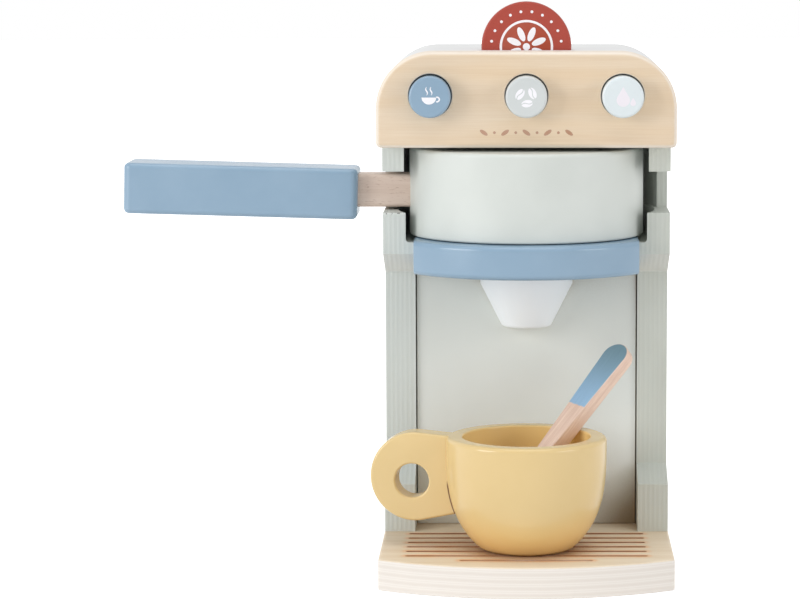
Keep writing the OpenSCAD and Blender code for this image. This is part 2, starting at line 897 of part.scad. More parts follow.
// The slot for the handle's root is open at the rim
module cup() {
    color(cream_yellow) at_cup() difference() {
        cup_body();
        at_handle() translate([0, 0, -dowel_gap]) linear_extrude(handle_t + 2 * dowel_gap) {
            handle_outline(-dowel_gap);
            square([handle_root + dowel_gap, handle_d]);
        }
    }
}

module cup_handle() {
    color(cream_yellow) at_cup() at_handle() difference() {
        hull() for (a = [0:30:90]) {
            rise = handle_edge_r * (1 - cos(a));
            translate([0, 0, rise]) linear_extrude(handle_t - 2 * rise) {
                handle_outline(handle_edge_r * (1 - sin(a)));
            }
        }
        finger_hole();
    }
}

// Outline of a stick that is straight at first and then changes its width
module tapered_stick(low_w, high_w, high_z) {
    polygon([
        [-low_w / 2, 0],
        [low_w / 2, 0],
        [low_w / 2, stirrer_shank],
        [high_w / 2, high_z],
        [-high_w / 2, high_z],
        [-low_w / 2, stirrer_shank]
    ]);
}

// Stick that grows wider and thinner towards its round tip: its two outlines meet
module stirrer() {
    tip_r = stirrer_tip_w / 2;
    tip_z = stirrer_l - tip_r;
    color(beech) at_cup() translate(stir_foot) rotate([0, stir_lean, stir_turn]) {
        rotate([0, 0, stirrer_twist]) intersection() {
            translate([-stirrer_t / 2, 0, 0]) rotate([90, 0, 90]) linear_extrude(stirrer_t) {
                tapered_stick(stirrer_w, stirrer_tip_w, tip_z);
                translate([0, tip_z]) circle(tip_r);
            }
            translate([0, tip_r, 0]) rotate([90, 0, 0]) linear_extrude(stirrer_tip_w) {
                tapered_stick(stirrer_t, stirrer_tip_t, stirrer_l);
            }
        }
    }
}

base_board();
left_side_panel();
right_side_panel();
bay_panel();
rear_panel();
filter_shelf();
spout();
head_floor();
front_panel();
top_cover();
button_board();
pad_holder();
base_dowels();
shelf_dowels();
front_panel_dowels();
spout_dowel();
button_left();
button_middle();
button_right();
spring_left();
spring_middle();
spring_right();
portafilter_drum();
portafilter_neck();
portafilter_grip();
coffee_pad();
cup();
cup_handle();
stirrer();
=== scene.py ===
# %% [markdown]
# # A toy coffee maker, dressed for its picture
# The machine is plywood, turned wood and paint. Its boards, holes and joints are already worked
# out as a frame, so this lesson builds only what the eye sees: softened edges, turned forms,
# wood, paint, small printed marks, and light. Every length is in metres and sits in the frame's
# own coordinates: X to the right, -Y to the front, +Z up.

# %% Load the frame
import math

import bmesh
import bpy
from mathutils import Matrix, Vector


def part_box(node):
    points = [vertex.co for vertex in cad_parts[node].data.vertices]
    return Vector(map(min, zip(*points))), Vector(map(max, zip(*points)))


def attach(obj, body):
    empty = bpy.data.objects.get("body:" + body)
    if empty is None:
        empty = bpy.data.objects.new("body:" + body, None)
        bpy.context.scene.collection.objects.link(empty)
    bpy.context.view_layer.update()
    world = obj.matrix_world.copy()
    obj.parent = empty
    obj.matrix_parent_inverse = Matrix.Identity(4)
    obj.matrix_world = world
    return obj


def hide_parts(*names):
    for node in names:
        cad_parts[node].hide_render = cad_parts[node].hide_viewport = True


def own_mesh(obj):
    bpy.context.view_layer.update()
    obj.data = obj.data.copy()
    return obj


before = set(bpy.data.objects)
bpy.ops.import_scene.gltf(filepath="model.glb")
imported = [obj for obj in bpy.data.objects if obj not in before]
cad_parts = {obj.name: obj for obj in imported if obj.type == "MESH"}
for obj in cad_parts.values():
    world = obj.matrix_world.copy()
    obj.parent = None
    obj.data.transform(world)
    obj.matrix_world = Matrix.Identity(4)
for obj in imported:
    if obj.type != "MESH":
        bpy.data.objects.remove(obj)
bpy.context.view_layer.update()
MM = 0.001

# %% [markdown]
# ## Helpers for shapes
# Three ways of making are used all through. A board is a flat outline with thickness, a turned
# piece is a profile carried round an axis, and a piece whose form is already right in the frame
# is copied and only has its edges softened. A real edge is never perfectly sharp, and the thin
# line of light that runs along it is what makes wood look like wood.


# %% Points of an arc
def arc(centre, radius, start, end, steps):
    """Points of an arc about a centre, from one angle to another in degrees, ends included."""
    angles = [math.radians(start + (end - start) * i / steps) for i in range(steps + 1)]
    return [(centre[0] + radius * math.cos(a), centre[1] + radius * math.sin(a)) for a in angles]


# %% Meshes from points
def object_from(name, points, faces):
    mesh = bpy.data.meshes.new(name)
    mesh.from_pydata([tuple(p) for p in points], [], faces)
    mesh.validate()
    piece = bpy.data.objects.new(name, mesh)
    bpy.context.scene.collection.objects.link(piece)
    return piece


def edit_mesh(piece, work):
    """Opens a piece's mesh for bmesh work and writes it back."""
    bm = bmesh.new()
    bm.from_mesh(piece.data)
    work(bm)
    bmesh.ops.recalc_face_normals(bm, faces=bm.faces)
    bm.to_mesh(piece.data)
    bm.free()


def solid(name, points, faces):
    """A closed mesh whose faces all look outwards."""
    piece = object_from(name, points, faces)
    edit_mesh(piece, lambda bm: None)
    return piece


# %% A board: an outline with thickness
def board(name, outline, thickness):
    """A solid of that outline in X and Y, standing on z = 0."""
    count = len(outline)
    points = [(x, y, z) for z in (0, thickness) for x, y in outline]
    sides = [(i, (i + 1) % count, count + (i + 1) % count, count + i) for i in range(count)]
    caps = [tuple(reversed(range(count))), tuple(range(count, 2 * count))]
    return solid(name, points, sides + caps)


def round_edges(piece, width, segments, chosen):
    """Rounds the edges that the test picks, before the piece is cut or turned."""

    def work(bm):
        edges = [e for e in bm.edges if chosen(e)]
        looks = dict(offset=width, segments=segments, profile=0.5, affect="EDGES")
        bmesh.ops.bevel(bm, geom=edges, **looks)

    edit_mesh(piece, work)


def is_sharp(edge, degrees=30):
    return len(edge.link_faces) == 2 and edge.calc_face_angle(0) > math.radians(degrees)


def upper(middle):
    """A test that picks the sharp edges above a height."""
    return lambda edge: is_sharp(edge) and min(v.co.z for v in edge.verts) > middle


def lower(middle):
    """A test that picks the sharp edges below a height."""
    return lambda edge: is_sharp(edge) and max(v.co.z for v in edge.verts) < middle


# %% A turned piece: a profile carried round an axis
ON_AXIS = 1e-9


def turned(name, profile, steps, sweep=360):
    """Carries (radius, height) points round Z. A point on the axis becomes a single vertex."""
    closed = sweep == 360
    columns = steps if closed else steps + 1
    points, rows = [], []
    for radius, height in profile:
        if radius < ON_AXIS:
            points.append((0, 0, height))
            rows.append([len(points) - 1] * columns)
            continue
        rows.append(list(range(len(points), len(points) + columns)))
        for i in range(columns):
            a = math.radians(sweep * i / steps)
            points.append((radius * math.cos(a), radius * math.sin(a), height))
    faces = []
    for low, high in zip(rows, rows[1:]):
        for i in range(steps):
            j = (i + 1) % columns
            faces.append(tuple(dict.fromkeys([low[i], low[j], high[j], high[i]])))
    if not closed:
        ring = [row[0] for row in rows] + [row[-1] for row in reversed(rows)]
        faces.append(tuple(dict.fromkeys(ring)))
    return solid(name, points, [f for f in faces if len(f) > 2])


def move(piece, matrix):
    """Moves the mesh itself, so that every piece keeps its coordinates in the frame."""
    piece.data.transform(matrix)
    piece.data.update()
    return piece


# %% A copy of a frame piece with softened edges
MERGE_DISTANCE = 2e-6
FLAT_ANGLE = 0.4
SOFT_ANGLE = 30
SOFT_STEPS = 3


def softened(name, node, width):
    """Copies a node of the frame, merges its flat faces and rounds its sharp edges."""
    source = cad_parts[node].data
    bm = bmesh.new()
    bm.from_mesh(source)
    bmesh.ops.remove_doubles(bm, verts=bm.verts, dist=MERGE_DISTANCE)
    flat = math.radians(FLAT_ANGLE)
    bmesh.ops.dissolve_limit(bm, angle_limit=flat, verts=bm.verts, edges=bm.edges)
    bm.verts.index_update()
    points = [v.co.copy() for v in bm.verts]
    faces = [tuple(v.index for v in f.verts) for f in bm.faces]
    bm.free()
    piece = object_from(name, points, faces)
    bevel = piece.modifiers.new("edges", "BEVEL")
    bevel.width = width
    bevel.segments = SOFT_STEPS
    bevel.limit_method = "ANGLE"
    bevel.angle_limit = math.radians(SOFT_ANGLE)
    bevel.miter_outer = "MITER_ARC"
    apply_modifiers(piece)
    return piece


def apply_modifiers(piece):
    """Turns what the modifiers show into the piece's own mesh."""
    shown = piece.evaluated_get(bpy.context.evaluated_depsgraph_get())
    mesh = bpy.data.meshes.new_from_object(shown)
    mesh.name = piece.name
    piece.modifiers.clear()
    piece.data = mesh


def cut(piece, *cutters):
    """Takes the cutters out of the piece and deletes them."""
    for cutter in cutters:
        hole = piece.modifiers.new("cut", "BOOLEAN")
        hole.operation = "DIFFERENCE"
        hole.solver = "EXACT"
        hole.object = cutter
    apply_modifiers(piece)
    for cutter in cutters:
        bpy.data.objects.remove(cutter)


# %% Hand a piece over to its body
FLAT_WEIGHT = 80


def shade(piece, degrees):
    """Smooth shading that stays crisp at real corners and flat on broad faces."""
    piece.data.shade_smooth()
    piece.data.set_sharp_from_angle(angle=math.radians(degrees))
    flat = piece.modifiers.new("flat faces", "WEIGHTED_NORMAL")
    flat.keep_sharp = True
    flat.weight = FLAT_WEIGHT
    apply_modifiers(piece)


def hand_over(piece, material, body, nodes=(), degrees=35):
    """Shades the piece, paints it, and lets it ride on its body in place of its nodes."""
    shade(piece, degrees)
    piece.data.materials.clear()
    piece.data.materials.append(material)
    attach(piece, body)
    if nodes:
        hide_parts(*nodes)
    size = [round(v / MM, 1) for v in piece.dimensions]
    print(f"{piece.name}: {len(piece.data.polygons)} faces, {size} mm, rides on {body}")


# %% [markdown]
# ## Helpers for materials
# Colours are written as the eye reads them on a screen and are turned into linear light once,
# here. The node helpers keep each recipe short: one call adds a node, sets it and wires it.


# %% Colour and node helpers
def screen(red, green, blue):
    """A screen colour from 0 to 255 as the linear colour that a shader wants."""
    linear = []
    for value in (red, green, blue):
        share = value / 255
        linear.append(share / 12.92 if share <= 0.04045 else ((share + 0.055) / 1.055) ** 2.4)
    return (*linear, 1.0)


def add(tree, kind, inputs=None, **settings):
    """Adds a node, sets its properties and fills its inputs with values or other outputs."""
    node = tree.nodes.new(kind)
    for key, value in settings.items():
        setattr(node, key, value)
    for key, value in (inputs or {}).items():
        if isinstance(value, bpy.types.NodeSocket):
            tree.links.new(value, node.inputs[key])
        else:
            node.inputs[key].default_value = value
    return node


# %% Sums on values and on directions
def calc(tree, operation, a, b=0.0, clamp=False):
    node = add(tree, "ShaderNodeMath", {0: a, 1: b}, operation=operation, use_clamp=clamp)
    return node.outputs[0]


def times(tree, a, b):
    return calc(tree, "MULTIPLY", a, b)


def plus(tree, a, b):
    return calc(tree, "ADD", a, b)


def minus(tree, a, b):
    return calc(tree, "SUBTRACT", a, b)


def size_of(tree, value):
    return calc(tree, "ABSOLUTE", value)


def vectors(tree, operation, a, b=(0, 0, 0), output="Vector"):
    """Vector maths, such as a difference, a distance or how far two directions agree."""
    node = add(tree, "ShaderNodeVectorMath", {0: a, 1: b}, operation=operation)
    return node.outputs[output]


def part_of(tree, vector, axis):
    """One coordinate of a place or a direction."""
    return add(tree, "ShaderNodeSeparateXYZ", {0: vector}).outputs[axis]


def normal_of(tree):
    """The direction that the surface faces in the scene."""
    return tree.nodes.new("ShaderNodeNewGeometry").outputs["Normal"]


def own_normal_of(tree):
    """The direction that the surface faces on the piece itself, whatever its body's pose."""
    return tree.nodes.new("ShaderNodeTexCoord").outputs["Normal"]


# %% Colours, ramps and noise
def darker(colour, share):
    return [c * (1 - share) for c in colour[:3]] + [1.0]


def paler(colour, share):
    return [c + (1 - c) * share for c in colour[:3]] + [1.0]


def ramp(tree, value, low, high, out_low=0.0, out_high=1.0):
    """Maps a value smoothly from low..high to out_low..out_high."""
    node = add(
        tree,
        "ShaderNodeMapRange",
        {"Value": value, 1: low, 2: high, 3: out_low, 4: out_high},
        interpolation_type="SMOOTHSTEP",
    )
    return node.outputs[0]


def blend_colours(tree, factor, a, b):
    node = add(tree, "ShaderNodeMix", {"Factor": factor, 6: a, 7: b}, data_type="RGBA")
    return node.outputs[2]


def layered(tree, base, layers):
    """Lays more colours over a colour, each as far as its mask says."""
    for mask, colour in layers:
        base = blend_colours(tree, mask, base, colour)
    return base


def stretched(tree, vector, x, y, z):
    """The coordinates divided by a length on each axis, so that a texture has that size."""
    return vectors(tree, "MULTIPLY", vector, (1 / x, 1 / y, 1 / z))


def noise(tree, vector, detail, roughness=0.5, distortion=0.0):
    looks = {"Scale": 1.0, "Detail": detail, "Roughness": roughness, "Distortion": distortion}
    return add(tree, "ShaderNodeTexNoise", {"Vector": vector, **looks}).outputs[0]


# %% A new node group, and a new material
def new_group(name, inputs, outputs):
    """A shader node group with named sockets. Returns it with its inner input and output."""
    group = bpy.data.node_groups.new(name, "ShaderNodeTree")
    for socket, kind, value in inputs:
        made = group.interface.new_socket(socket, in_out="INPUT", socket_type=kind)
        if value is not None:
            made.default_value = value
    for socket in outputs:
        group.interface.new_socket(socket, in_out="OUTPUT", socket_type="NodeSocketFloat")
    return group, group.nodes.new("NodeGroupInput"), group.nodes.new("NodeGroupOutput")


def use(tree, group, **inputs):
    """Places a group in a material, with its own values."""
    node = tree.nodes.new("ShaderNodeGroup")
    node.node_tree = group
    for key, value in inputs.items():
        name = key.replace("_", " ").capitalize()
        if isinstance(value, bpy.types.NodeSocket):
            tree.links.new(value, node.inputs[name])
        else:
            node.inputs[name].default_value = value
    return node.outputs


def new_material(name):
    """An empty material: its tree, its shader, and coordinates that travel with the piece."""
    material = bpy.data.materials.new(name)
    material.use_nodes = True
    tree = material.node_tree
    shader = tree.nodes["Principled BSDF"]
    place = tree.nodes.new("ShaderNodeTexCoord").outputs["Object"]
    return material, tree, shader, place


def reopened(material):
    """A finished material opened again: its tree, its shader, its colour so far, coordinates."""
    tree = material.node_tree
    shader = tree.nodes["Principled BSDF"]
    base = shader.inputs["Base Color"].links[0].from_socket
    place = tree.nodes.new("ShaderNodeTexCoord").outputs["Object"]
    return tree, shader, base, place


def give(tree, shader, colour, roughness=None):
    """Feeds a colour, and a roughness that changes over the surface, to the shader."""
    tree.links.new(colour, shader.inputs["Base Color"])
    if roughness is not None:
        tree.links.new(roughness, shader.inputs["Roughness"])


def bump(tree, shader, height, depth):
    """Feeds a height into the shader's normal. Depth is the relief in metres."""
    node = add(tree, "ShaderNodeBump", {"Height": height, "Distance": depth, "Strength": 1.0})
    tree.links.new(node.outputs[0], shader.inputs["Normal"])


# %% [markdown]
# ## Shared effects
# Five things come back on one surface of a wooden toy after another, so each is made once as a
# node group and placed in the materials with its own values: the run of the grain, the skin of
# the paint, the layers of plywood, a painted highlight along rounded edges, and painted brown
# shade in deep corners.

# %% Group: wood grain
grain_group, gi, go = new_group(
    "wood grain",
    [
        ("Vector", "NodeSocketVector", None),
        ("Fibre length", "NodeSocketFloat", 20 * MM),
        ("Fibre width", "NodeSocketFloat", 0.5 * MM),
        ("Band width", "NodeSocketFloat", 7 * MM),
    ],
    ["Fibre", "Band", "Height"],
)


def along_grain(tree, vector, length, width):
    """Coordinates squeezed so that a noise runs along X."""
    reach = calc(tree, "DIVIDE", 1.0, length)
    across = calc(tree, "DIVIDE", 1.0, width)
    scale = add(tree, "ShaderNodeCombineXYZ", {0: reach, 1: across, 2: across}).outputs[0]
    return vectors(tree, "MULTIPLY", vector, scale)


vector, band_width = gi.outputs["Vector"], gi.outputs["Band width"]
threads = along_grain(grain_group, vector, gi.outputs["Fibre length"], gi.outputs["Fibre width"])
fine = noise(grain_group, threads, detail=3, roughness=0.65)
rings = along_grain(grain_group, vector, times(grain_group, band_width, 22.0), band_width)
broad = noise(grain_group, rings, detail=2, distortion=0.6)
fibre = ramp(grain_group, fine, 0.32, 0.68)
band = ramp(grain_group, broad, 0.3, 0.7)
height = plus(grain_group, times(grain_group, fibre, 0.7), times(grain_group, band, 0.3))
grain_group.links.new(fibre, go.inputs["Fibre"])
grain_group.links.new(band, go.inputs["Band"])
grain_group.links.new(height, go.inputs["Height"])
print("made group", grain_group.name)

# %% Group: the skin of a coat of paint
CLOUD_SIZE = 26 * MM
paint_group, gi, go = new_group(
    "paint skin",
    [("Vector", "NodeSocketVector", None), ("Peel", "NodeSocketFloat", 0.9 * MM)],
    ["Cloud", "Height"],
)
peel = calc(paint_group, "DIVIDE", 1.0, gi.outputs["Peel"])
vector = gi.outputs["Vector"]
scaled = {0: vector, "Scale": peel}
fine = add(paint_group, "ShaderNodeVectorMath", scaled, operation="SCALE").outputs[0]
wide = stretched(paint_group, vector, CLOUD_SIZE, CLOUD_SIZE, CLOUD_SIZE)
cloud = noise(paint_group, wide, detail=3)
paint_group.links.new(ramp(paint_group, cloud, 0.3, 0.7), go.inputs["Cloud"])
paint_group.links.new(noise(paint_group, fine, detail=1.5), go.inputs["Height"])
print("made group", paint_group.name)

# %% Group: plywood layers seen on an edge
WAVER_SIZE = 18 * MM
STRAND_WIDTH = 0.25 * MM
STRAND_LENGTH = 9 * MM
ply_group, gi, go = new_group(
    "plywood layers",
    [
        ("Depth", "NodeSocketFloat", 0.0),
        ("Vector", "NodeSocketVector", None),
        ("Layers", "NodeSocketFloat", 7.0),
    ],
    ["Layer", "Glue", "Height"],
)
vector = gi.outputs["Vector"]
wide = stretched(ply_group, vector, WAVER_SIZE, WAVER_SIZE, WAVER_SIZE)
waver = noise(ply_group, wide, detail=2)
waver = times(ply_group, minus(ply_group, waver, 0.5), 0.35)
depth = plus(ply_group, times(ply_group, gi.outputs["Depth"], gi.outputs["Layers"]), waver)
half = calc(ply_group, "PINGPONG", depth, 1.0)
to_line = calc(ply_group, "PINGPONG", depth, 0.5)
ply_group.links.new(ramp(ply_group, half, 0.42, 0.58), go.inputs["Layer"])
ply_group.links.new(ramp(ply_group, to_line, 0.0, 0.09, 1.0, 0.0), go.inputs["Glue"])
upright = stretched(ply_group, vector, STRAND_WIDTH, STRAND_WIDTH, STRAND_LENGTH)
strand = noise(ply_group, upright, detail=2)
ply_group.links.new(plus(ply_group, half, times(ply_group, strand, 0.8)), go.inputs["Height"])
print("made group", ply_group.name)

# %% Group: a painted highlight along the rounded edges
edge_highlight_group, gi, go = new_group("painted edge highlight", [("Radius", "NodeSocketFloat", 0.6 * MM)], ["Mask"])
radius = {"Radius": gi.outputs["Radius"]}
rounded = add(edge_highlight_group, "ShaderNodeBevel", radius, samples=6).outputs[0]
agreement = vectors(edge_highlight_group, "DOT_PRODUCT", rounded, normal_of(edge_highlight_group), "Value")
edge_highlight_group.links.new(ramp(edge_highlight_group, agreement, 0.9, 0.995, 1.0, 0.0), go.inputs["Mask"])
print("made group", edge_highlight_group.name)

# %% Group: shade that gathers in deep corners
corner_inputs = [("Reach", "NodeSocketFloat", 25 * MM)]
corner_group, gi, go = new_group("corner shade", corner_inputs, ["Mask"])
reach = {"Distance": gi.outputs["Reach"]}
openness = add(corner_group, "ShaderNodeAmbientOcclusion", reach, samples=8).outputs["AO"]
corner_group.links.new(ramp(corner_group, openness, 0.2, 0.62, 1.0, 0.0), go.inputs["Mask"])
print("made group", corner_group.name)

# %% [markdown]
# ## Paint on wood
# The painted pieces are wood under two thin coats of water-based satin paint. Up close such
# paint is never one colour: it is a little cloudy and the grain still shows in it as shallow
# relief. Along the rounded edges a painted highlight is laid over it. One function makes them
# all, because only the colour, the sheen and the run of the grain differ.


# %% A painted wood material
PAINT_FIBRE = 14 * MM
PAINT_FIBRE_WIDTH = 0.45 * MM
PAINT_HIGHLIGHT_REACH = 0.7 * MM


def painted(
    name, colour, grain_axis="X", roughness=0.42, cloud=0.04, relief=0.02, edge=0.35, sheen=0.5
):
    material, tree, shader, place = new_material(name)
    turn = {"X": (0, 0, 0), "Y": (0, 0, math.pi / 2), "Z": (0, math.pi / 2, 0)}[grain_axis]
    turned_place = {"Vector": place, "Rotation": turn}
    run = add(tree, "ShaderNodeVectorRotate", turned_place, rotation_type="EULER_XYZ").outputs[0]
    sizes = dict(fibre_length=PAINT_FIBRE, fibre_width=PAINT_FIBRE_WIDTH)
    grain = use(tree, grain_group, vector=run, **sizes)
    skin = use(tree, paint_group, vector=place)
    edge_highlight = use(tree, edge_highlight_group, radius=PAINT_HIGHLIGHT_REACH)
    dark = darker(colour, cloud)
    base = blend_colours(tree, skin["Cloud"], dark, paler(colour, cloud))
    base = blend_colours(tree, times(tree, grain["Fibre"], cloud * 0.8), base, dark)
    # A painted highlight along the rounded edges, as strong as the edge share says.
    base = blend_colours(tree, times(tree, edge_highlight["Mask"], 0.55), base, paler(colour, edge))
    rough = ramp(tree, skin["Cloud"], 0.0, 1.0, roughness - 0.02, roughness + 0.03)
    give(tree, shader, base, rough)
    height = plus(tree, times(tree, grain["Height"], 0.6), times(tree, skin["Height"], 0.4))
    bump(tree, shader, height, relief * MM)
    shader.inputs["Specular IOR Level"].default_value = sheen
    print("made material", name)
    return material


mint_paint = painted("mint paint", screen(224, 229, 225), "Z")
mint_turned = painted("mint paint on the drum", screen(210, 215, 210), roughness=0.38)
blue_paint = painted("blue paint", screen(136, 164, 187), roughness=0.24, cloud=0.025)
cover_paint = painted("cover paint", screen(226, 227, 227), "Y", roughness=0.45)
pale_paint = painted("pale mint paint", screen(219, 228, 231), roughness=0.38)
spout_paint = painted("spout paint", screen(246, 251, 255), roughness=0.38, cloud=0.01, edge=0.0)
cup_paint = painted("cup paint", screen(225, 197, 139), roughness=0.2, cloud=0.02, relief=0.008)
ink = painted("white print", screen(244, 243, 248), roughness=0.5, relief=0.004)
faint_ink = painted("faint print", screen(236, 231, 238), roughness=0.5, relief=0.004)
burnt = painted("burnt wood", screen(178, 130, 98), roughness=0.6, cloud=0.1, relief=0.01)

# %% [markdown]
# ## Painted plywood
# The side panels are plywood, and their cut edges drink paint. The layers stay visible there as
# fine upright ridges, while the broad faces are smooth. The material finds the edges by the
# direction they face: the panels' broad faces look left and right, everything else is an edge.


# %% Painted plywood for a side panel
def panel_paint(name, panel_node, colour):
    material, tree, shader, place = new_material(name)
    low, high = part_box(panel_node)
    depth = calc(tree, "DIVIDE", minus(tree, part_of(tree, place, "X"), low.x), high.x - low.x)
    ply = use(tree, ply_group, depth=depth, vector=place, layers=13.0)
    skin = use(tree, paint_group, vector=place)
    edge_highlight = use(tree, edge_highlight_group, radius=PAINT_HIGHLIGHT_REACH)
    normal = normal_of(tree)
    on_edge = ramp(tree, size_of(tree, part_of(tree, normal, "X")), 0.35, 0.75, 1.0, 0.0)
    # Painted light on the edges that look down, standing for light from the floor.
    painted_light_below = ramp(tree, part_of(tree, normal, "Z"), -0.5, -0.2, 1.0, 0.0)
    dark = darker(colour, 0.16)
    pale = paler(colour, 0.3)
    base = blend_colours(tree, skin["Cloud"], darker(colour, 0.04), colour)
    # The last two layers are painted light: on edges that look down, and a highlight along
    # rounded edges.
    layers = [
        (times(tree, times(tree, ply["Layer"], on_edge), 0.16), dark),
        (times(tree, times(tree, ply["Glue"], on_edge), 0.32), dark),
        (times(tree, times(tree, painted_light_below, on_edge), 0.9), pale),
        (times(tree, edge_highlight["Mask"], 0.25), pale),
    ]
    rough = ramp(tree, on_edge, 0.0, 1.0, 0.42, 0.62)
    give(tree, shader, layered(tree, base, layers), rough)
    ridges = times(tree, ply["Height"], on_edge)
    bump(tree, shader, plus(tree, ridges, times(tree, skin["Height"], 0.25)), 0.06 * MM)
    print("made material", name)
    return material


# %% Paint of the two side panels
# The right panel's mint is a darker copy of the left's, as painted shade for the weaker light on
# that side.
left_mint, right_mint_shaded = screen(210, 216, 212), screen(205, 209, 201)
left_panel_paint = panel_paint("paint on the left panel", "left_side_panel", left_mint)
right_panel_paint = panel_paint("paint on the right panel, shaded darker", "right_side_panel", right_mint_shaded)

# %% A thicker coat with crumbs beside the left panel's handle slot
CRUMB_SIZE = 0.9 * MM
CRUMB_BAND = 1.3 * MM
CRUMB_DROP = 11.5 * MM
LIP_AT = 0.6 * MM
NICK_RISE = 18.5 * MM
BEARER_BACK = 3 * MM
NECK_ROOM = 0.3 * MM
slot_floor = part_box("portafilter_neck")[0].z - NECK_ROOM
panel_low, panel_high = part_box("left_side_panel")
front_of_slot = panel_low.y + BEARER_BACK
tree, shader, base, place = reopened(left_panel_paint)
below = minus(tree, slot_floor, part_of(tree, place, "Z"))
inward = minus(tree, panel_high.x, part_of(tree, place, "X"))
depth_in = part_of(tree, place, "Y")
at_front = ramp(tree, depth_in, front_of_slot, front_of_slot + 2 * MM, 1.0, 0.0)
crumbs = noise(tree, stretched(tree, place, CRUMB_SIZE, CRUMB_SIZE, CRUMB_SIZE), detail=2)
lip = ramp(tree, size_of(tree, minus(tree, below, LIP_AT)), 0.3 * MM, CRUMB_BAND, 1.0, 0.0)
lip = times(tree, lip, at_front)
specks = times(tree, ramp(tree, crumbs, 0.57, 0.62), lip)
reach = calc(tree, "LESS_THAN", below, CRUMB_DROP)
reach = times(tree, times(tree, calc(tree, "GREATER_THAN", below, 0.0), reach), at_front)
beside = times(tree, ramp(tree, inward, 0.2 * MM, 0.9 * MM, 1.0, 0.0), reach)
ragged = times(tree, beside, ramp(tree, crumbs, 0.47, 0.55))
nick = ramp(tree, size_of(tree, plus(tree, below, NICK_RISE)), 0.8 * MM, 1.3 * MM, 1.0, 0.0)
nick = times(tree, nick, ramp(tree, inward, 0.7 * MM, 1.1 * MM, 1.0, 0.0))
nick = times(tree, nick, at_front)
layers = [
    (times(tree, lip, 0.7), screen(226, 230, 225)),
    (times(tree, specks, 0.85), screen(52, 52, 46)),
    (times(tree, ragged, 0.9), screen(48, 48, 42)),
    (times(tree, nick, 0.85), screen(60, 58, 50)),
]
give(tree, shader, layered(tree, base, layers))
print("floor of the handle slot at z, in mm:", round(slot_floor / MM, 1))

# %% Paint in the bay: paler mint, painted shade under the shelf and at the sides, painted shadow in its corners
CORNER_SHADOW_REACH = 24 * MM
# The bay's mint is paler than the other mint, as painted light for its deep recess.
bay_paint_lit_and_shaded = painted("paint in the bay, with painted light and shade", screen(236, 240, 237), "Z", cloud=0.03)
bay_low, bay_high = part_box("bay_panel")
tree, shader, base, place = reopened(bay_paint_lit_and_shaded)
across = part_of(tree, place, "X")
painted_shelf_shade = ramp(tree, part_of(tree, place, "Z"), bay_low.z + 25 * MM, bay_high.z)
painted_side_shade = ramp(tree, size_of(tree, across), 12 * MM, bay_high.x, 0.0, 0.4)
shade_stronger_right = ramp(tree, across, bay_low.x, bay_high.x, 0.25, 0.95)
shadow_corner = (bay_high.x, bay_low.y, bay_low.z)
from_shadow_corner = vectors(tree, "DISTANCE", place, shadow_corner, "Value")
in_corners = use(tree, corner_group, reach=30 * MM)["Mask"]
# Painted shade under the shelf and towards the side panels; painted brown shadow in the corners,
# strongest to the right and in the lower right corner.
layers = [
    (times(tree, painted_shelf_shade, 0.9), screen(214, 219, 214)),
    (times(tree, painted_side_shade, painted_shelf_shade), screen(196, 199, 195)),
    (times(tree, in_corners, shade_stronger_right), screen(140, 116, 80)),
    (ramp(tree, from_shadow_corner, 3 * MM, CORNER_SHADOW_REACH, 0.75, 0.0), screen(126, 104, 70)),
]
give(tree, shader, layered(tree, base, layers))

# %% Two reds on the coffee pad
INNER_RED_R = 10.0 * MM
inner_red, outer_red = screen(166, 70, 46), screen(168, 72, 60)
pad_paint = painted("pad paint", inner_red, roughness=0.4, cloud=0.03, edge=0.1, sheen=0.3)
pad_low, pad_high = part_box("coffee_pad")
tree, shader, base, place = reopened(pad_paint)
from_middle = vectors(tree, "DISTANCE", place, tuple((pad_low + pad_high) / 2), "Value")
outside_ring = ramp(tree, from_middle, INNER_RED_R, INNER_RED_R + 0.2 * MM)
give(tree, shader, blend_colours(tree, outside_ring, base, outer_red))

# %% [markdown]
# ## Bare woods
# Three woods stay bare under a matt varnish. The front panel is limewood, pale and quiet. The
# neck, the stirrer and the dowels are beech, pinkish with short dark flecks. The base board is
# birch plywood: a plain veneer above and below, and bright layers along its edge. Grain that is
# wrapped round a piece shows a seam somewhere. Grain that is worked out from the place in space
# runs through the piece as real grain does, so it is made that way. Limewood and beech share
# one function, and the plywood and the painted stirrer have recipes of their own.


# %% A bare wood material
def bare_wood(name, light, dark, fibre_length, fibre_width, band_width, contrast):
    material, tree, shader, place = new_material(name)
    sizes = dict(fibre_length=fibre_length, fibre_width=fibre_width, band_width=band_width)
    grain = use(tree, grain_group, vector=place, **sizes)
    edge_highlight = use(tree, edge_highlight_group, radius=0.8 * MM)
    amount = plus(tree, times(tree, grain["Fibre"], 0.4), times(tree, grain["Band"], 0.6))
    base = blend_colours(tree, times(tree, amount, contrast), light, dark)
    # A painted highlight along the rounded edges.
    base = blend_colours(tree, times(tree, edge_highlight["Mask"], 0.6), base, paler(light, 0.4))
    give(tree, shader, base, ramp(tree, grain["Fibre"], 0, 1, 0.5, 0.62))
    bump(tree, shader, grain["Height"], 0.015 * MM)
    print("made material", name)
    return material, tree, shader, place, base


# %% Limewood for the front panel
limewood, tree, shader, place, base = bare_wood(
    "limewood", screen(229, 211, 187), screen(218, 195, 166), 26 * MM, 0.5 * MM, 6 * MM, 0.9
)
warm = noise(tree, stretched(tree, place, 60 * MM, 9 * MM, 9 * MM), detail=2)
warm = ramp(tree, warm, 0.4, 0.68)
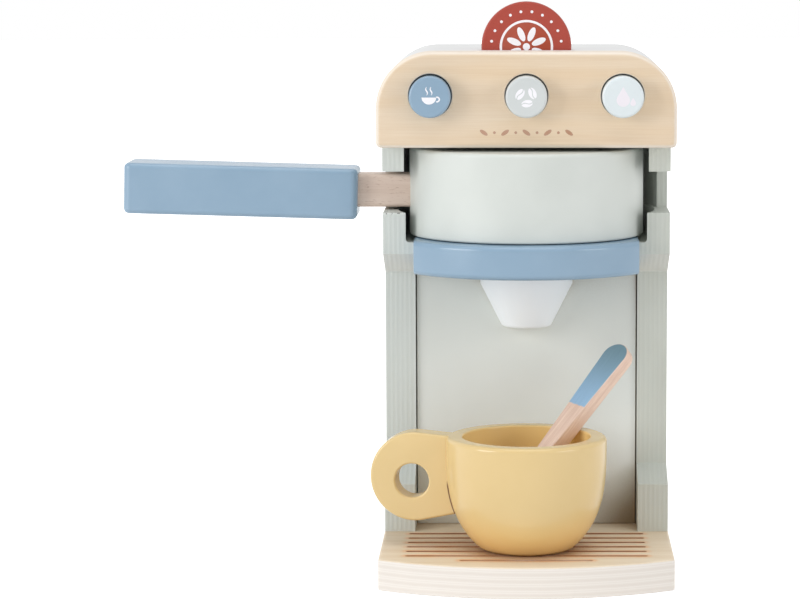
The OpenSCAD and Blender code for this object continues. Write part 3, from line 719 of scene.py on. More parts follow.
# A painted highlight on the faces that look neither to the front nor the back, such as the
# rounded top.
forward = size_of(tree, part_of(tree, normal_of(tree), "Y"))
rim = ramp(tree, forward, 0.8, 0.995, 1.0, 0.0)
layers = [
    (times(tree, warm, 0.3), screen(225, 196, 157)),
    (times(tree, rim, 0.7), screen(238, 230, 219)),
]
give(tree, shader, layered(tree, base, layers))

# %% Beech with its flecks
beech, tree, shader, place, base = bare_wood(
    "beech", screen(228, 209, 195), screen(210, 186, 170), 14 * MM, 0.4 * MM, 3 * MM, 0.8
)
fleck = noise(tree, stretched(tree, place, 2.2 * MM, 0.3 * MM, 0.3 * MM), detail=1)
fleck = ramp(tree, fleck, 0.64, 0.72)
give(tree, shader, blend_colours(tree, times(tree, fleck, 0.5), base, screen(158, 116, 92)))

# %% [markdown]
# ## Birch plywood with burnt lines
# The drip lines on the base are burnt in, so each is dark in the middle and has a soft brown
# glow in the wood beside it. The glow is worked out from the distance to the nearest line,
# with the same pitch and lengths that the grooves are cut to, so that the two always agree.

# %% Sizes of the drip lines
base_low, base_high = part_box("base_board")
base_top = base_high.z
DRIP_COUNT = 7
DRIP_PITCH = 8.4 * MM
DRIP_FRONT = 13.4 * MM
DRIP_WIDTH = 1.8 * MM
DRIP_DEPTH = 0.5 * MM
DRIP_LONG = 92.5 * MM
DRIP_SHORT = 50.5 * MM
first_drip_y = base_low.y + DRIP_FRONT
drip_ys = [first_drip_y + i * DRIP_PITCH for i in range(DRIP_COUNT)]
print("drip lines at y, in mm:", [round(y / MM, 1) for y in drip_ys])

# %% Birch plywood: veneer above and below, layers on the edge
birch, tree, shader, place = new_material("birch plywood")
place_x, place_y, place_z = [part_of(tree, place, axis) for axis in "XYZ"]
depth = calc(tree, "DIVIDE", minus(tree, place_z, base_low.z), base_high.z - base_low.z)
ply = use(tree, ply_group, depth=depth, vector=place, layers=9.0)
sizes = dict(fibre_length=22 * MM, fibre_width=0.45 * MM, band_width=5 * MM)
grain = use(tree, grain_group, vector=place, **sizes)
on_edge = ramp(tree, size_of(tree, part_of(tree, normal_of(tree), "Z")), 0.35, 0.75, 1.0, 0.0)
amount = plus(tree, times(tree, grain["Fibre"], 0.4), times(tree, grain["Band"], 0.5))
veneer = blend_colours(tree, amount, screen(233, 218, 195), screen(220, 200, 170))
cut_edge = blend_colours(tree, ply["Layer"], screen(238, 232, 225), screen(232, 225, 217))
cut_edge = blend_colours(tree, times(tree, ply["Glue"], 0.4), cut_edge, screen(214, 203, 193))
base = blend_colours(tree, on_edge, veneer, cut_edge)

# %% How far a point lies from the nearest drip line
row = calc(tree, "ROUND", calc(tree, "DIVIDE", minus(tree, place_y, first_drip_y), DRIP_PITCH))
row = calc(tree, "MINIMUM", calc(tree, "MAXIMUM", row, 0.0), DRIP_COUNT - 1.0)
line_y = plus(tree, times(tree, row, DRIP_PITCH), first_drip_y)
off_y = size_of(tree, minus(tree, place_y, line_y))
is_long = calc(tree, "GREATER_THAN", row, 0.5)
extra = times(tree, is_long, (DRIP_LONG - DRIP_SHORT) / 2)
half_length = plus(tree, (DRIP_SHORT - DRIP_WIDTH) / 2, extra)
off_x = calc(tree, "MAXIMUM", minus(tree, size_of(tree, place_x), half_length), 0.0)
away = calc(tree, "SQRT", plus(tree, times(tree, off_x, off_x), times(tree, off_y, off_y)))

# %% Char, glow and the shade in the corners
on_top = calc(tree, "GREATER_THAN", place_z, base_top - 1.2 * DRIP_DEPTH)
patchy = noise(tree, stretched(tree, place, 14 * MM, 6 * MM, 6 * MM), detail=2)
glow = ramp(tree, away, 1.0 * MM, 4.0 * MM, 1.0, 0.0)
glow = times(tree, times(tree, glow, ramp(tree, patchy, 0.3, 0.75, 0.3, 0.85)), on_top)
char = ramp(tree, away, 0.95 * MM, 1.3 * MM, 1.0, 0.0)
char = times(tree, times(tree, char, ramp(tree, patchy, 0.2, 0.7, 0.8, 1.0)), on_top)
char = times(tree, char, ramp(tree, row, 0.0, 2.0, 0.6, 1.0))
shade_mask = use(tree, corner_group, reach=25 * MM)["Mask"]
shade_mask = times(tree, times(tree, shade_mask, minus(tree, 1.0, on_edge)), 0.7)
layers = [
    (glow, screen(226, 166, 110)),
    (char, screen(154, 104, 72)),
    (shade_mask, screen(160, 120, 84)),
]
give(tree, shader, layered(tree, base, layers), ramp(tree, on_edge, 0, 1, 0.5, 0.7))
ridges = times(tree, times(tree, ply["Height"], on_edge), 0.8)
bump(tree, shader, plus(tree, ridges, times(tree, grain["Height"], 0.35)), 0.04 * MM)
print("made material", birch.name)

# %% [markdown]
# ## Steel for the springs
# The springs behind the buttons are drawn steel wire, with fine scratches that make its sheen a
# little uneven. Brushed metal could have a group of its own, but the springs hide in the head,
# so one stretched noise serves for the colour, the sheen and the relief.

# %% Spring steel
steel, tree, shader, place = new_material("spring steel")
scratches = noise(tree, stretched(tree, place, 0.4 * MM, 2 * MM, 0.4 * MM), detail=3)
sheen = blend_colours(tree, scratches, screen(150, 152, 156), screen(196, 198, 202))
give(tree, shader, sheen, ramp(tree, scratches, 0.2, 0.8, 0.22, 0.4))
shader.inputs["Metallic"].default_value = 1.0
bump(tree, shader, scratches, 0.01 * MM)
print("made material", steel.name)

# %% [markdown]
# ## The base board
# The base is a plywood board whose front edge is bowed. Its outline is two small corner arcs
# and one long arc. The board is made flat with sharp edges, its rim is rounded, and then the
# grooves are cut, so that the cutter leaves crisp lips as a burning tool does.

# %% Outline of the base board
BOW = 15.5 * MM
CORNER = 3 * MM
half_width = base_high.x
bow_radius = (half_width**2 + BOW**2) / (2 * BOW)
bow_centre = (0.0, base_low.y + bow_radius)
corner_x = half_width - CORNER
corner_y = bow_centre[1] - math.sqrt((bow_radius - CORNER) ** 2 - corner_x**2)
corner_angle = math.degrees(math.atan2(bow_centre[1] - corner_y, corner_x))
base_outline = (
    arc((-corner_x, corner_y), CORNER, 180, 180 + corner_angle, 8)
    + arc(bow_centre, bow_radius, 180 + corner_angle, 360 - corner_angle, 96)[1:-1]
    + arc((corner_x, corner_y), CORNER, 360 - corner_angle, 360, 8)
    + [(half_width, base_high.y), (-half_width, base_high.y)]
)
print("bow radius, in mm:", round(bow_radius / MM, 1))

# %% The board and its grooves
BASE_EDGE = 1.0 * MM
BASE_FOOT_EDGE = 0.3 * MM
base_t = base_high.z - base_low.z
base_board = board("base_board_ply", base_outline, base_t)
board_middle = base_t / 2
round_edges(base_board, BASE_EDGE, 4, upper(board_middle))
round_edges(base_board, BASE_FOOT_EDGE, 2, lower(board_middle))


def groove(y, length):
    """A cutter for one drip line: a slot with round ends that stands out above the board."""
    r = DRIP_WIDTH / 2
    reach = length / 2 - r
    outline = arc((reach, y), r, -90, 90, 12) + arc((-reach, y), r, 90, 270, 12)
    cutter = board("cutter", outline, 2 * DRIP_DEPTH)
    return move(cutter, Matrix.Translation((0, 0, base_top - DRIP_DEPTH)))


cutters = [groove(y, DRIP_SHORT if i == 0 else DRIP_LONG) for i, y in enumerate(drip_ys)]
cut(base_board, *cutters)
hand_over(base_board, birch, "root", ["base_board"])

# %% [markdown]
# ## The column
# Two side panels, the panel behind the cup and the panel that closes the back are flat boards
# whose outlines are already right in the frame. Copying them and softening their edges is the
# surest way, because the handle slots and the round pocket for the drum stay exactly in place.

# %% Side panels and the boards between them
PANEL_EDGE = 0.6 * MM
THIN_EDGE = 0.3 * MM
REAR_SEAM = 0.03 * MM
for name, node, paint, edge in [
    ("left_panel", "left_side_panel", left_panel_paint, PANEL_EDGE),
    ("right_panel", "right_side_panel", right_panel_paint, PANEL_EDGE),
    ("bay_board", "bay_panel", bay_paint_lit_and_shaded, THIN_EDGE),
    ("rear_board", "rear_panel", mint_paint, THIN_EDGE),
    ("head_floor_board", "head_floor", mint_paint, THIN_EDGE),
]:
    piece = softened(name, node, edge)
    if node == "rear_panel":
        half_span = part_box("right_side_panel")[0].x - REAR_SEAM
        move(piece, Matrix.Diagonal((half_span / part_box(node)[1].x, 1, 1, 1)))
    hand_over(piece, paint, "root", [node])

# %% [markdown]
# ## The shelf and the spout
# The shelf that carries the drum has a bowed front with a softer edge than its ends. The spout
# is a turned cone, sawn in half and glued to the panel, so it is a profile carried through half
# a turn and closed by its flat back.

# %% The shelf
SHELF_BOW = 55 * MM
SHELF_EDGE = 2.0 * MM
SHELF_END_EDGE = 0.35 * MM
SHELF_SLACK = 0.1 * MM
LEVEL = 1e-6
shelf_low, shelf_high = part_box("filter_shelf")
shelf_half = shelf_high.x
shelf_centre = (0.0, shelf_low.y + SHELF_BOW)
shelf_angle = math.degrees(math.acos(shelf_half / SHELF_BOW))
shelf_outline = arc(shelf_centre, SHELF_BOW, 180 + shelf_angle, 360 - shelf_angle, 72) + [
    (shelf_half, shelf_high.y),
    (-shelf_half, shelf_high.y),
]
shelf = board("shelf_board", shelf_outline, shelf_high.z - shelf_low.z)
ends_of_bow = shelf_centre[1] - SHELF_BOW * math.sin(math.radians(shelf_angle))


def on_the_bow(edge):
    """Picks the long level edges of the bowed front, above and below."""
    a, b = [v.co for v in edge.verts]
    at_front = max(a.y, b.y) < ends_of_bow + SHELF_SLACK
    return is_sharp(edge) and at_front and abs(a.z - b.z) < LEVEL


round_edges(shelf, SHELF_EDGE, 6, on_the_bow)
round_edges(shelf, SHELF_END_EDGE, 2, lambda edge: is_sharp(edge, 50))
move(shelf, Matrix.Translation((0, 0, shelf_low.z)))
hand_over(shelf, blue_paint, "root", ["filter_shelf"])

# %% The spout
SPOUT_TIP = 10.4 * MM
SPOUT_COLLAR = 6.8 * MM
SPOUT_FLARE = 0.9 * MM
SPOUT_EDGE = 2 * MM
spout_low, spout_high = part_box("spout")
spout_r = spout_high.x + SPOUT_FLARE
spout_h = spout_high.z - spout_low.z
spout_lean = math.degrees(math.atan((spout_r - SPOUT_TIP) / (spout_h - SPOUT_COLLAR)))
spout_profile = (
    [(0, 0)]
    + arc((SPOUT_TIP - SPOUT_EDGE, SPOUT_EDGE), SPOUT_EDGE, -90, -spout_lean, 8)
    + [(spout_r, spout_h - SPOUT_COLLAR), (spout_r, spout_h), (0, spout_h)]
)
spout = turned("spout_cone", spout_profile, 96, 180)
half_turn = Matrix.Rotation(math.pi, 4, "Z")
move(spout, Matrix.Translation((0, spout_high.y, spout_low.z)) @ half_turn)
hand_over(spout, spout_paint, "root", ["spout"])

# %% [markdown]
# ## The head
# The front panel is a board stood on edge, with two big upper corners, eased rims and three
# holes that the buttons move in. The holes could be part of its outline. They are cut with
# turned plugs instead, because a plug gives each hole its rounded lip and its wider back in one
# go. The cover behind the panel is bent round the same corners and is copied from the frame.

# %% The front panel
HEAD_R = 22 * MM
FOOT_R = 2 * MM
FACE_EDGE = 1.9 * MM
FACE_BACK_EDGE = 0.6 * MM
face_low, face_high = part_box("front_panel")
face_half = face_high.x
face_h = face_high.z - face_low.z
face_t = face_high.y - face_low.y
face_outline = (
    arc((face_half - FOOT_R, FOOT_R), FOOT_R, -90, 0, 6)
    + arc((face_half - HEAD_R, face_h - HEAD_R), HEAD_R, 0, 90, 32)
    + arc((HEAD_R - face_half, face_h - HEAD_R), HEAD_R, 90, 180, 32)
    + arc((FOOT_R - face_half, FOOT_R), FOOT_R, 180, 270, 6)
)
face = board("face_board", face_outline, face_t)
round_edges(face, FACE_EDGE, 6, upper(face_t / 2))
round_edges(face, FACE_BACK_EDGE, 3, lower(face_t / 2))
toward_front = Matrix.Rotation(math.pi / 2, 4, "X")
move(face, Matrix.Translation((0, face_high.y, face_low.z)) @ toward_front)

# %% Holes for the buttons
BUTTON_NODES = ["button_left", "button_middle", "button_right"]
BUTTON_R = 8 * MM
BUTTON_ROOM = 0.4 * MM
HOLE_LIP = 0.35 * MM
COUNTERBORE_R = 10.4 * MM
COUNTERBORE_DEPTH = 6.1 * MM
SPARE = 1 * MM


def button_frame(x, z, y):
    """Carries a piece that stands along Z to a button's place, facing the front."""
    return Matrix.Translation((x, y, z)) @ toward_front


button_places = []
for node in BUTTON_NODES:
    low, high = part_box(node)
    button_places.append(((low.x + high.x) / 2, (low.z + high.z) / 2))
hole_r = BUTTON_R + BUTTON_ROOM
hole_profile = (
    [(0, -SPARE), (COUNTERBORE_R, -SPARE), (COUNTERBORE_R, COUNTERBORE_DEPTH)]
    + [(hole_r, COUNTERBORE_DEPTH)]
    + arc((hole_r + HOLE_LIP, face_t - HOLE_LIP), HOLE_LIP, 180, 90, 5)
    + [(hole_r + HOLE_LIP, face_t + SPARE), (0, face_t + SPARE)]
)
holes = []
for x, z in button_places:
    holes.append(move(turned("hole", hole_profile, 96), button_frame(x, z, face_high.y)))
cut(face, *holes)
hand_over(face, limewood, "root", ["front_panel"])

# %% The cover and the pad's holder
SOFT_EDGE = 0.5 * MM
cover = softened("bent_cover", "top_cover", SOFT_EDGE)
hand_over(cover, cover_paint, "root", ["top_cover"])
holder = softened("pad_pocket", "pad_holder", THIN_EDGE)
hand_over(holder, limewood, "root", ["pad_holder"])

# %% Woods of the hidden pieces, which are shown as the frame has them
HIDDEN_DOWELS = ["base_dowels", "shelf_dowels", "front_panel_dowels", "spout_dowel"]
for node in ["button_board"] + HIDDEN_DOWELS:
    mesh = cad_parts[node].data
    mesh.materials.clear()
    mesh.materials.append(beech if node in HIDDEN_DOWELS else birch)
print("hidden pieces of beech:", HIDDEN_DOWELS)

# %% [markdown]
# ## Buttons, springs and printed marks
# Each button is a turned peg with a flange that keeps it in its hole. A spring behind it pushes
# it out. The marks are printed in white ink: a cup, some beans and two drops. They could be
# masks in the paint, but thin films drawn from plain curves, just proud of it, stay crisp from
# near and ride on their buttons by themselves.

# %% Turned buttons
FLANGE_R = 10 * MM
FLANGE_T = 2 * MM
BUTTON_EDGE = 1.0 * MM
BUTTON_SAG = 0.25 * MM
BORE_R = 4.5 * MM
BORE_WEB = 5 * MM
sage_paint = painted("sage paint", screen(205, 210, 210), roughness=0.38)
button_low, button_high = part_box("button_left")
button_l = button_high.y - button_low.y
button_profile = (
    [(0, button_l - BORE_WEB), (BORE_R, button_l - BORE_WEB), (BORE_R, 0), (FLANGE_R, 0)]
    + [(FLANGE_R, FLANGE_T), (BUTTON_R, FLANGE_T)]
    + arc((BUTTON_R - BUTTON_EDGE, button_l - BUTTON_EDGE), BUTTON_EDGE, 0, 90, 8)
    + [(0, button_l)]
)
button_paints = [
    (blue_paint, "blue_paint"),
    (sage_paint, "sage_paint"),
    (pale_paint, "pale_mint_paint"),
]
for node, (x, z), (paint, slot) in zip(BUTTON_NODES, button_places, button_paints):
    peg = turned(node + "_peg", button_profile, 96)
    move(peg, button_frame(x, z - BUTTON_SAG, button_high.y))
    hand_over(peg, paint, node, [node])

# %% Springs behind the buttons
WIRE_R = 0.4 * MM
SPRING_TURNS = 6
TURN_STEPS = 28
WIRE_SIDES = 8


def coil(name, low, high):
    """A wire of round section on a helix as long and wide as the box, standing along Z."""
    radius = (high.x - low.x) / 2 - WIRE_R
    length = high.y - low.y - 2 * WIRE_R
    rings = SPRING_TURNS * TURN_STEPS
    points = []
    for i in range(rings + 1):
        turn = 2 * math.pi * i / TURN_STEPS
        for j in range(WIRE_SIDES):
            side = 2 * math.pi * j / WIRE_SIDES
            out = radius + WIRE_R * math.cos(side)
            rise = WIRE_R + length * i / rings + WIRE_R * math.sin(side)
            points.append((out * math.cos(turn), out * math.sin(turn), rise))
    faces = []
    for i in range(rings):
        for j in range(WIRE_SIDES):
            k = (j + 1) % WIRE_SIDES
            a = i * WIRE_SIDES
            b = a + WIRE_SIDES
            faces.append((a + j, a + k, b + k, b + j))
    faces.append(tuple(reversed(range(WIRE_SIDES))))
    faces.append(tuple(rings * WIRE_SIDES + j for j in range(WIRE_SIDES)))
    return solid(name, points, faces)


for side, (x, z) in zip(["left", "middle", "right"], button_places):
    low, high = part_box("spring_" + side)
    spring = coil("coil_" + side, low, high)
    move(spring, button_frame(x, z, high.y))
    hand_over(spring, steel, "root", ["spring_" + side], degrees=60)
    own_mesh(spring)

# %% Outlines for the printed marks
FILM = 0.03 * MM


def tilted(points, centre, degrees):
    """Points turned about the origin and then carried to a centre."""
    c, s = math.cos(math.radians(degrees)), math.sin(math.radians(degrees))
    return [(centre[0] + x * c - y * s, centre[1] + x * s + y * c) for x, y in points]


def ellipse(centre, a, b, tilt=0.0, steps=28):
    """Points of an ellipse with half axes a and b, turned by tilt in degrees."""
    angles = [2 * math.pi * i / steps for i in range(steps)]
    return tilted([(a * math.cos(t), b * math.sin(t)) for t in angles], centre, tilt)


def dot(centre, radius):
    return ellipse(centre, radius, radius, steps=16)


def ribbon(path, width):
    """An outline that follows a line of points and narrows to a quarter at both ends."""
    left, right = [], []
    last = len(path) - 1
    for i, (x, y) in enumerate(path):
        ax, ay = path[max(i - 1, 0)]
        bx, by = path[min(i + 1, last)]
        length = math.hypot(bx - ax, by - ay)
        taper = 0.25 + 0.75 * math.sin(math.pi * i / last)
        nx, ny = -(by - ay) / length * width / 2 * taper, (bx - ax) / length * width / 2 * taper
        left.append((x + nx, y + ny))
        right.append((x - nx, y - ny))
    return left + right[::-1]


def bean(centre, a, b, tilt):
    """Two halves of a bean, parted by a line that bends like an S."""
    bend, gap, steps = 0.22 * b, 0.13 * b, 12
    seam = []
    for i in range(steps + 1):
        seam.append((-a + 2 * a * i / steps, bend * math.sin(2 * math.pi * i / steps)))
    angles = [math.pi * i / steps for i in range(1, steps)]
    halves = []
    for side in (1, -1):
        inner = [(0.94 * x, y + side * gap) for x, y in seam]
        rim = [(a * math.cos(t), side * b * math.sin(t)) for t in angles]
        halves.append(tilted(inner + rim, centre, tilt))
    return halves


# %% A print made of flat films
def split_caps(bm):
    """Cuts the many-sided ends of a film into triangles."""
    bmesh.ops.triangulate(bm, faces=[f for f in bm.faces if len(f.verts) > 4])


def mark(name, loops, matrix, body, material):
    """A print made of flat films, one for each outline."""
    points, faces = [], []
    for loop in loops:
        start, count = len(points), len(loop)
        points += [(x, y, z) for z in (0, FILM) for x, y in loop]
        faces.append(tuple(start + i for i in reversed(range(count))))
        faces.append(tuple(start + count + i for i in range(count)))
        for i in range(count):
            j = (i + 1) % count
            faces.append((start + i, start + j, start + count + j, start + count + i))
    piece = object_from(name, points, faces)
    edit_mesh(piece, split_caps)
    move(piece, matrix)
    hand_over(piece, material, body)


# %% The cup's outlines: a bowl, an ear and two wisps of steam
EAR_AT = (2.35 * MM, -0.7 * MM)
STEAM_STEPS = 14


def wisp(x):
    """A line of steam that rises from the bowl in one wave."""
    path = []
    for i in range(STEAM_STEPS + 1):
        sway = 0.28 * MM * math.sin(2 * math.pi * i / STEAM_STEPS)
        path.append((x * MM + sway, (0.6 + 2.6 * i / STEAM_STEPS) * MM))
    return ribbon(path, 0.42 * MM)


bowl = arc((-0.2 * MM, -0.1 * MM), 2.3 * MM, 180, 360, 20)
bowl = [(x, y * 0.95) for x, y in bowl]
ear = arc(EAR_AT, 0.95 * MM, 110, -110, 12) + arc(EAR_AT, 0.5 * MM, -110, 110, 12)
cup_marks = [bowl, ear, wisp(-0.9), wisp(0.5)]

# %% The beans and the drops
bean_marks = (
    bean((-2.0 * MM, 0.9 * MM), 1.9 * MM, 1.2 * MM, 55)
    + bean((1.9 * MM, 1.2 * MM), 1.9 * MM, 1.2 * MM, 115)
    + bean((0.2 * MM, -2.0 * MM), 1.8 * MM, 1.15 * MM, 10)
)
drop = [(0, 3.2 * MM)] + arc((0, -0.9 * MM), 2.1 * MM, 35, -215, 26)
small_drop = [(x * 0.42 + 3.1 * MM, y * 0.42 - 1.5 * MM) for x, y in drop]

# %% Print the marks on the buttons
MARK_SCALE = 1.22
button_marks = [(cup_marks, ink), (bean_marks, ink), ([drop, small_drop], faint_ink)]
for node, (x, z), (loops, print_ink) in zip(BUTTON_NODES, button_places, button_marks):
    loops = [[(px * MARK_SCALE, py * MARK_SCALE) for px, py in loop] for loop in loops]
    place_at = button_frame(x, z - BUTTON_SAG, button_low.y)
    mark(node + "_print", loops, place_at, node, print_ink)

# %% A burnt row of grains and dots on the front panel
GRAIN_COUNT = 9
GRAIN_PITCH = 4.1 * MM
GRAIN_RISE = 6.0 * MM
GRAIN_TILT = 35
GRAIN_LENGTH, GRAIN_WIDTH = 3.5 * MM, 1.5 * MM
GRAIN_DOT_R = 0.55 * MM
grains = []
for i in range(GRAIN_COUNT):
    x = (i - GRAIN_COUNT // 2) * GRAIN_PITCH
    if i % 2:
        grains.append(dot((x, 0), GRAIN_DOT_R))
    else:
        lean = GRAIN_TILT if i % 4 else -GRAIN_TILT
        grains.append(ellipse((x, 0), GRAIN_LENGTH / 2, GRAIN_WIDTH / 2, lean))
place_at = button_frame(0, face_low.z + GRAIN_RISE, face_low.y)
mark("burnt_row", grains, place_at, "root", burnt)

# %% [markdown]
# ## The portafilter
# The drum is turned, the neck is a square beech bar let into it, and the grip is a block with
# generous rounding. The block's four upright edges are rounded first and the rest after them,
# so that the corners close as soft domes and not as mitres.

# %% The drum
DRUM_EDGE = 1.5 * MM
DRUM_LOW_EDGE = 0.8 * MM
drum_low, drum_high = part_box("portafilter_drum")
drum_r = (drum_high.x - drum_low.x) / 2
drum_h = drum_high.z - drum_low.z
drum_centre = (drum_low + drum_high) / 2
drum_centre.z = drum_low.z
drum_profile = (
    [(0, 0)]
    + arc((drum_r - DRUM_LOW_EDGE, DRUM_LOW_EDGE), DRUM_LOW_EDGE, -90, 0, 8)
    + arc((drum_r - DRUM_EDGE, drum_h - DRUM_EDGE), DRUM_EDGE, 0, 90, 8)
    + [(0, drum_h)]
)
drum = turned("drum", drum_profile, 192)
move(drum, Matrix.Translation(drum_centre))
hand_over(drum, mint_turned, "portafilter", ["portafilter_drum"])

# %% The neck
neck = softened("neck_bar", "portafilter_neck", THIN_EDGE)
hand_over(neck, beech, "portafilter", ["portafilter_neck"], degrees=50)

# %% The grip
GRIP = Vector((92.0, 25.0, 20.0)) * MM
GRIP_RISE = 1.6
GRIP_DROP = 1.1 * MM
GRIP_UPRIGHT_R = 3.0 * MM
GRIP_EDGE_R = 2.0 * MM
NECK_SHOWN = 20.2 * MM
grip_outline = [(-GRIP.x, -GRIP.y / 2), (0, -GRIP.y / 2), (0, GRIP.y / 2), (-GRIP.x, GRIP.y / 2)]
grip = board("grip_block", grip_outline, GRIP.z)


def is_upright(edge):
    a, b = edge.verts
    return abs(a.co.z - b.co.z) > GRIP.z / 2


round_edges(grip, GRIP_UPRIGHT_R, 8, is_upright)
round_edges(grip, GRIP_EDGE_R, 6, is_sharp)
neck_low, neck_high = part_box("portafilter_neck")
neck_z = (neck_low.z + neck_high.z) / 2
grip_place = Vector((-drum_r - NECK_SHOWN, drum_centre.y, neck_z - GRIP_DROP))
tilt = Matrix.Rotation(math.radians(GRIP_RISE), 4, "Y")
move(grip, Matrix.Translation(grip_place) @ tilt @ Matrix.Translation((0, 0, -GRIP.z / 2)))
hand_over(grip, blue_paint, "portafilter", ["portafilter_grip"])

# %% [markdown]
# ## The coffee pad
# The pad is a thin turned disc that stands in its slot on edge. Its print is a ring with a
# little flower of eight petals inside it and a row of dots outside. The ring is laid in four
# parts, because one outline can't go round a hole.

# %% The pad
PAD_EDGE = 0.8 * MM
pad_r = (pad_high.x - pad_low.x) / 2
pad_t = pad_high.y - pad_low.y
pad_z = (pad_low.z + pad_high.z) / 2
pad_profile = (
    [(0, 0)]
    + arc((pad_r - PAD_EDGE, PAD_EDGE), PAD_EDGE, -90, 0, 6)
    + arc((pad_r - PAD_EDGE, pad_t - PAD_EDGE), PAD_EDGE, 0, 90, 6)
    + [(0, pad_t)]
)
pad = turned("pad_disc", pad_profile, 144)
move(pad, button_frame(0, pad_z, pad_high.y))
hand_over(pad, pad_paint, "coffee_pad", ["coffee_pad"])

# %% The pad's print: a ring, a flower and a row of dots
RING_R = 10.4 * MM
RING_W = 0.9 * MM
RING_PARTS = 4
PETALS = 8
PETAL_AT = 5.2 * MM
PETAL_LENGTH, PETAL_WIDTH = 5.8 * MM, 2.5 * MM
DOTS = 20
DOT_AT = 13.7 * MM
DOT_R = 0.55 * MM
FLOWER_EYE_R = 1.4 * MM


def ring_part(number):
    """One stretch of the flat ring, as an outline."""
    start, end = 360 / RING_PARTS * number, 360 / RING_PARTS * (number + 1)
    return arc((0, 0), RING_R, start, end, 24) + arc((0, 0), RING_R - RING_W, end, start, 24)


def on_circle(radius, degrees):
    angle = math.radians(degrees)
    return (radius * math.cos(angle), radius * math.sin(angle))


pad_loops = [ring_part(i) for i in range(RING_PARTS)]
for i in range(PETALS):
    angle = 360 / PETALS * (i + 0.5)
    petal_at = on_circle(PETAL_AT, angle)
    pad_loops.append(ellipse(petal_at, PETAL_LENGTH / 2, PETAL_WIDTH / 2, angle))
for i in range(DOTS):
    pad_loops.append(dot(on_circle(DOT_AT, 360 / DOTS * (i + 0.5)), DOT_R))
pad_loops.append(ellipse((0, 0), FLOWER_EYE_R, FLOWER_EYE_R))
mark("pad_print", pad_loops, button_frame(0, pad_z, pad_low.y), "coffee_pad", ink)

# %% [markdown]
# ## The cup
# The cup is turned from one block. Its wall swells quickly from a small foot and is nearly
# upright at the rim. The profile could be a row of measured points, but one power curve, used
# once outside and once smaller inside, gives a smooth wall and can be changed by two numbers.

# %% Sizes and curve of the cup
CUP_R = 31 * MM
CUP_FOOT_R = 16.8 * MM
CUP_WALL = 6.4 * MM
CUP_FLOOR = 7 * MM
CUP_RIM = 1.8 * MM
CUP_INNER_RIM = 0.8 * MM
FULLNESS = 3.4
BELLY = 0.87
CUP_STEPS = 40
STEPS_LEFT_TO_RIM = 3
STEPS_LEFT_TO_FOOT = 4
cup_low, cup_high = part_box("cup")
cup_h = cup_high.z - cup_low.z
cup_y = (cup_low.y + cup_high.y) / 2


def cup_radius(h, height, top_r, foot_r):
    """Radius of the cup at height h: full near the rim, drawn in to the foot."""
    share = 1 - (1 - min(h / height, 1)) ** FULLNESS
    return foot_r + (top_r - foot_r) * share**BELLY


def wall(height, top_r, foot_r, start):
    """The profile from the foot up to the rim, with closer steps where it turns quickly."""
    points = []
    for i in range(CUP_STEPS - STEPS_LEFT_TO_RIM):
        h = height * (i / CUP_STEPS) ** 1.6
        points.append((cup_radius(h, height, top_r, foot_r), start + h))
    return points


# %% Turn the cup
FOOT_EDGE = 0.6 * MM
inner_r = CUP_R - CUP_WALL
cup_profile = (
    [(0, 0), (CUP_FOOT_R - FOOT_EDGE, 0)]
    + wall(cup_h, CUP_R, CUP_FOOT_R, 0)[STEPS_LEFT_TO_FOOT:]
    + arc((CUP_R - CUP_RIM, cup_h - CUP_RIM), CUP_RIM, 0, 90, 8)
    + arc((inner_r + CUP_INNER_RIM, cup_h - CUP_INNER_RIM), CUP_INNER_RIM, 90, 180, 6)
    + wall(cup_h - CUP_FLOOR, inner_r, CUP_FOOT_R - CUP_WALL, CUP_FLOOR)[::-1]
    + [(0, CUP_FLOOR)]
)
cup = turned("cup_bowl", cup_profile, 160)
move(cup, Matrix.Translation((0, cup_y, cup_low.z)))
hand_over(cup, cup_paint, "cup", ["cup"], degrees=50)

# %% Painted bounce light inside the cup, and a more saturated yellow towards its foot
cup_paint_lit_inside = cup_paint.copy()
cup_paint_lit_inside.name = "cup paint with painted light inside"
tree, shader, base, place = reopened(cup_paint_lit_inside)
from_axis = vectors(tree, "MULTIPLY", vectors(tree, "SUBTRACT", place, (0, cup_y, 0)), (1, 1, 0))
outward = vectors(tree, "NORMALIZE", from_axis)
facing_out = vectors(tree, "DOT_PRODUCT", outward, own_normal_of(tree), "Value")
inner_wall = ramp(tree, facing_out, -0.75, -0.35, 1.0, 0.0)
height = part_of(tree, place, "Z")
near_foot = ramp(tree, height, cup_low.z, cup_low.z + cup_h / 2, 1.0, 0.0)
# Painted bounce light on the inner wall; the lower half turns a more saturated yellow.
layers = [(near_foot, screen(238, 202, 134)), (inner_wall, screen(238, 205, 138))]
give(tree, shader, layered(tree, base, layers))
cup.data.materials[0] = cup_paint_lit_inside
print("made material", cup_paint_lit_inside.name)

# %% [markdown]
# ## The cup's handle
# The handle is a disc with a finger hole, cut off where it is let into the cup's wall. It is a
# board like the others, stood on edge and turned a little. Its lower half doesn't quite close
# on the wall, and that dark joint is painted by a mask that follows the cup's own curve,
# because a real gap so thin would hardly show.

# %% Outline of the cup's handle
HANDLE_TURN = 8.0
HANDLE_T = 10 * MM
HANDLE_R = 17.3 * MM
HANDLE_OUT = 12.5 * MM
HANDLE_PROUD = 1 * MM
HANDLE_INSET = 4 * MM
HANDLE_SLANT = 3 * MM
HANDLE_FALL = 5
HANDLE_SLOPE = 12
handle_rise = cup_h + HANDLE_PROUD - HANDLE_R
handle_reach = cup_radius(handle_rise, cup_h, CUP_R, CUP_FOOT_R) + HANDLE_OUT


def tangent(degrees, x, slope):
    """The point at x on the straight line that leaves the handle's circle at that angle."""
    angle = math.radians(degrees)
    start_x, start_y = HANDLE_R * math.cos(angle), HANDLE_R * math.sin(angle)
    return (x, start_y + (x - start_x) * math.tan(math.radians(slope)))


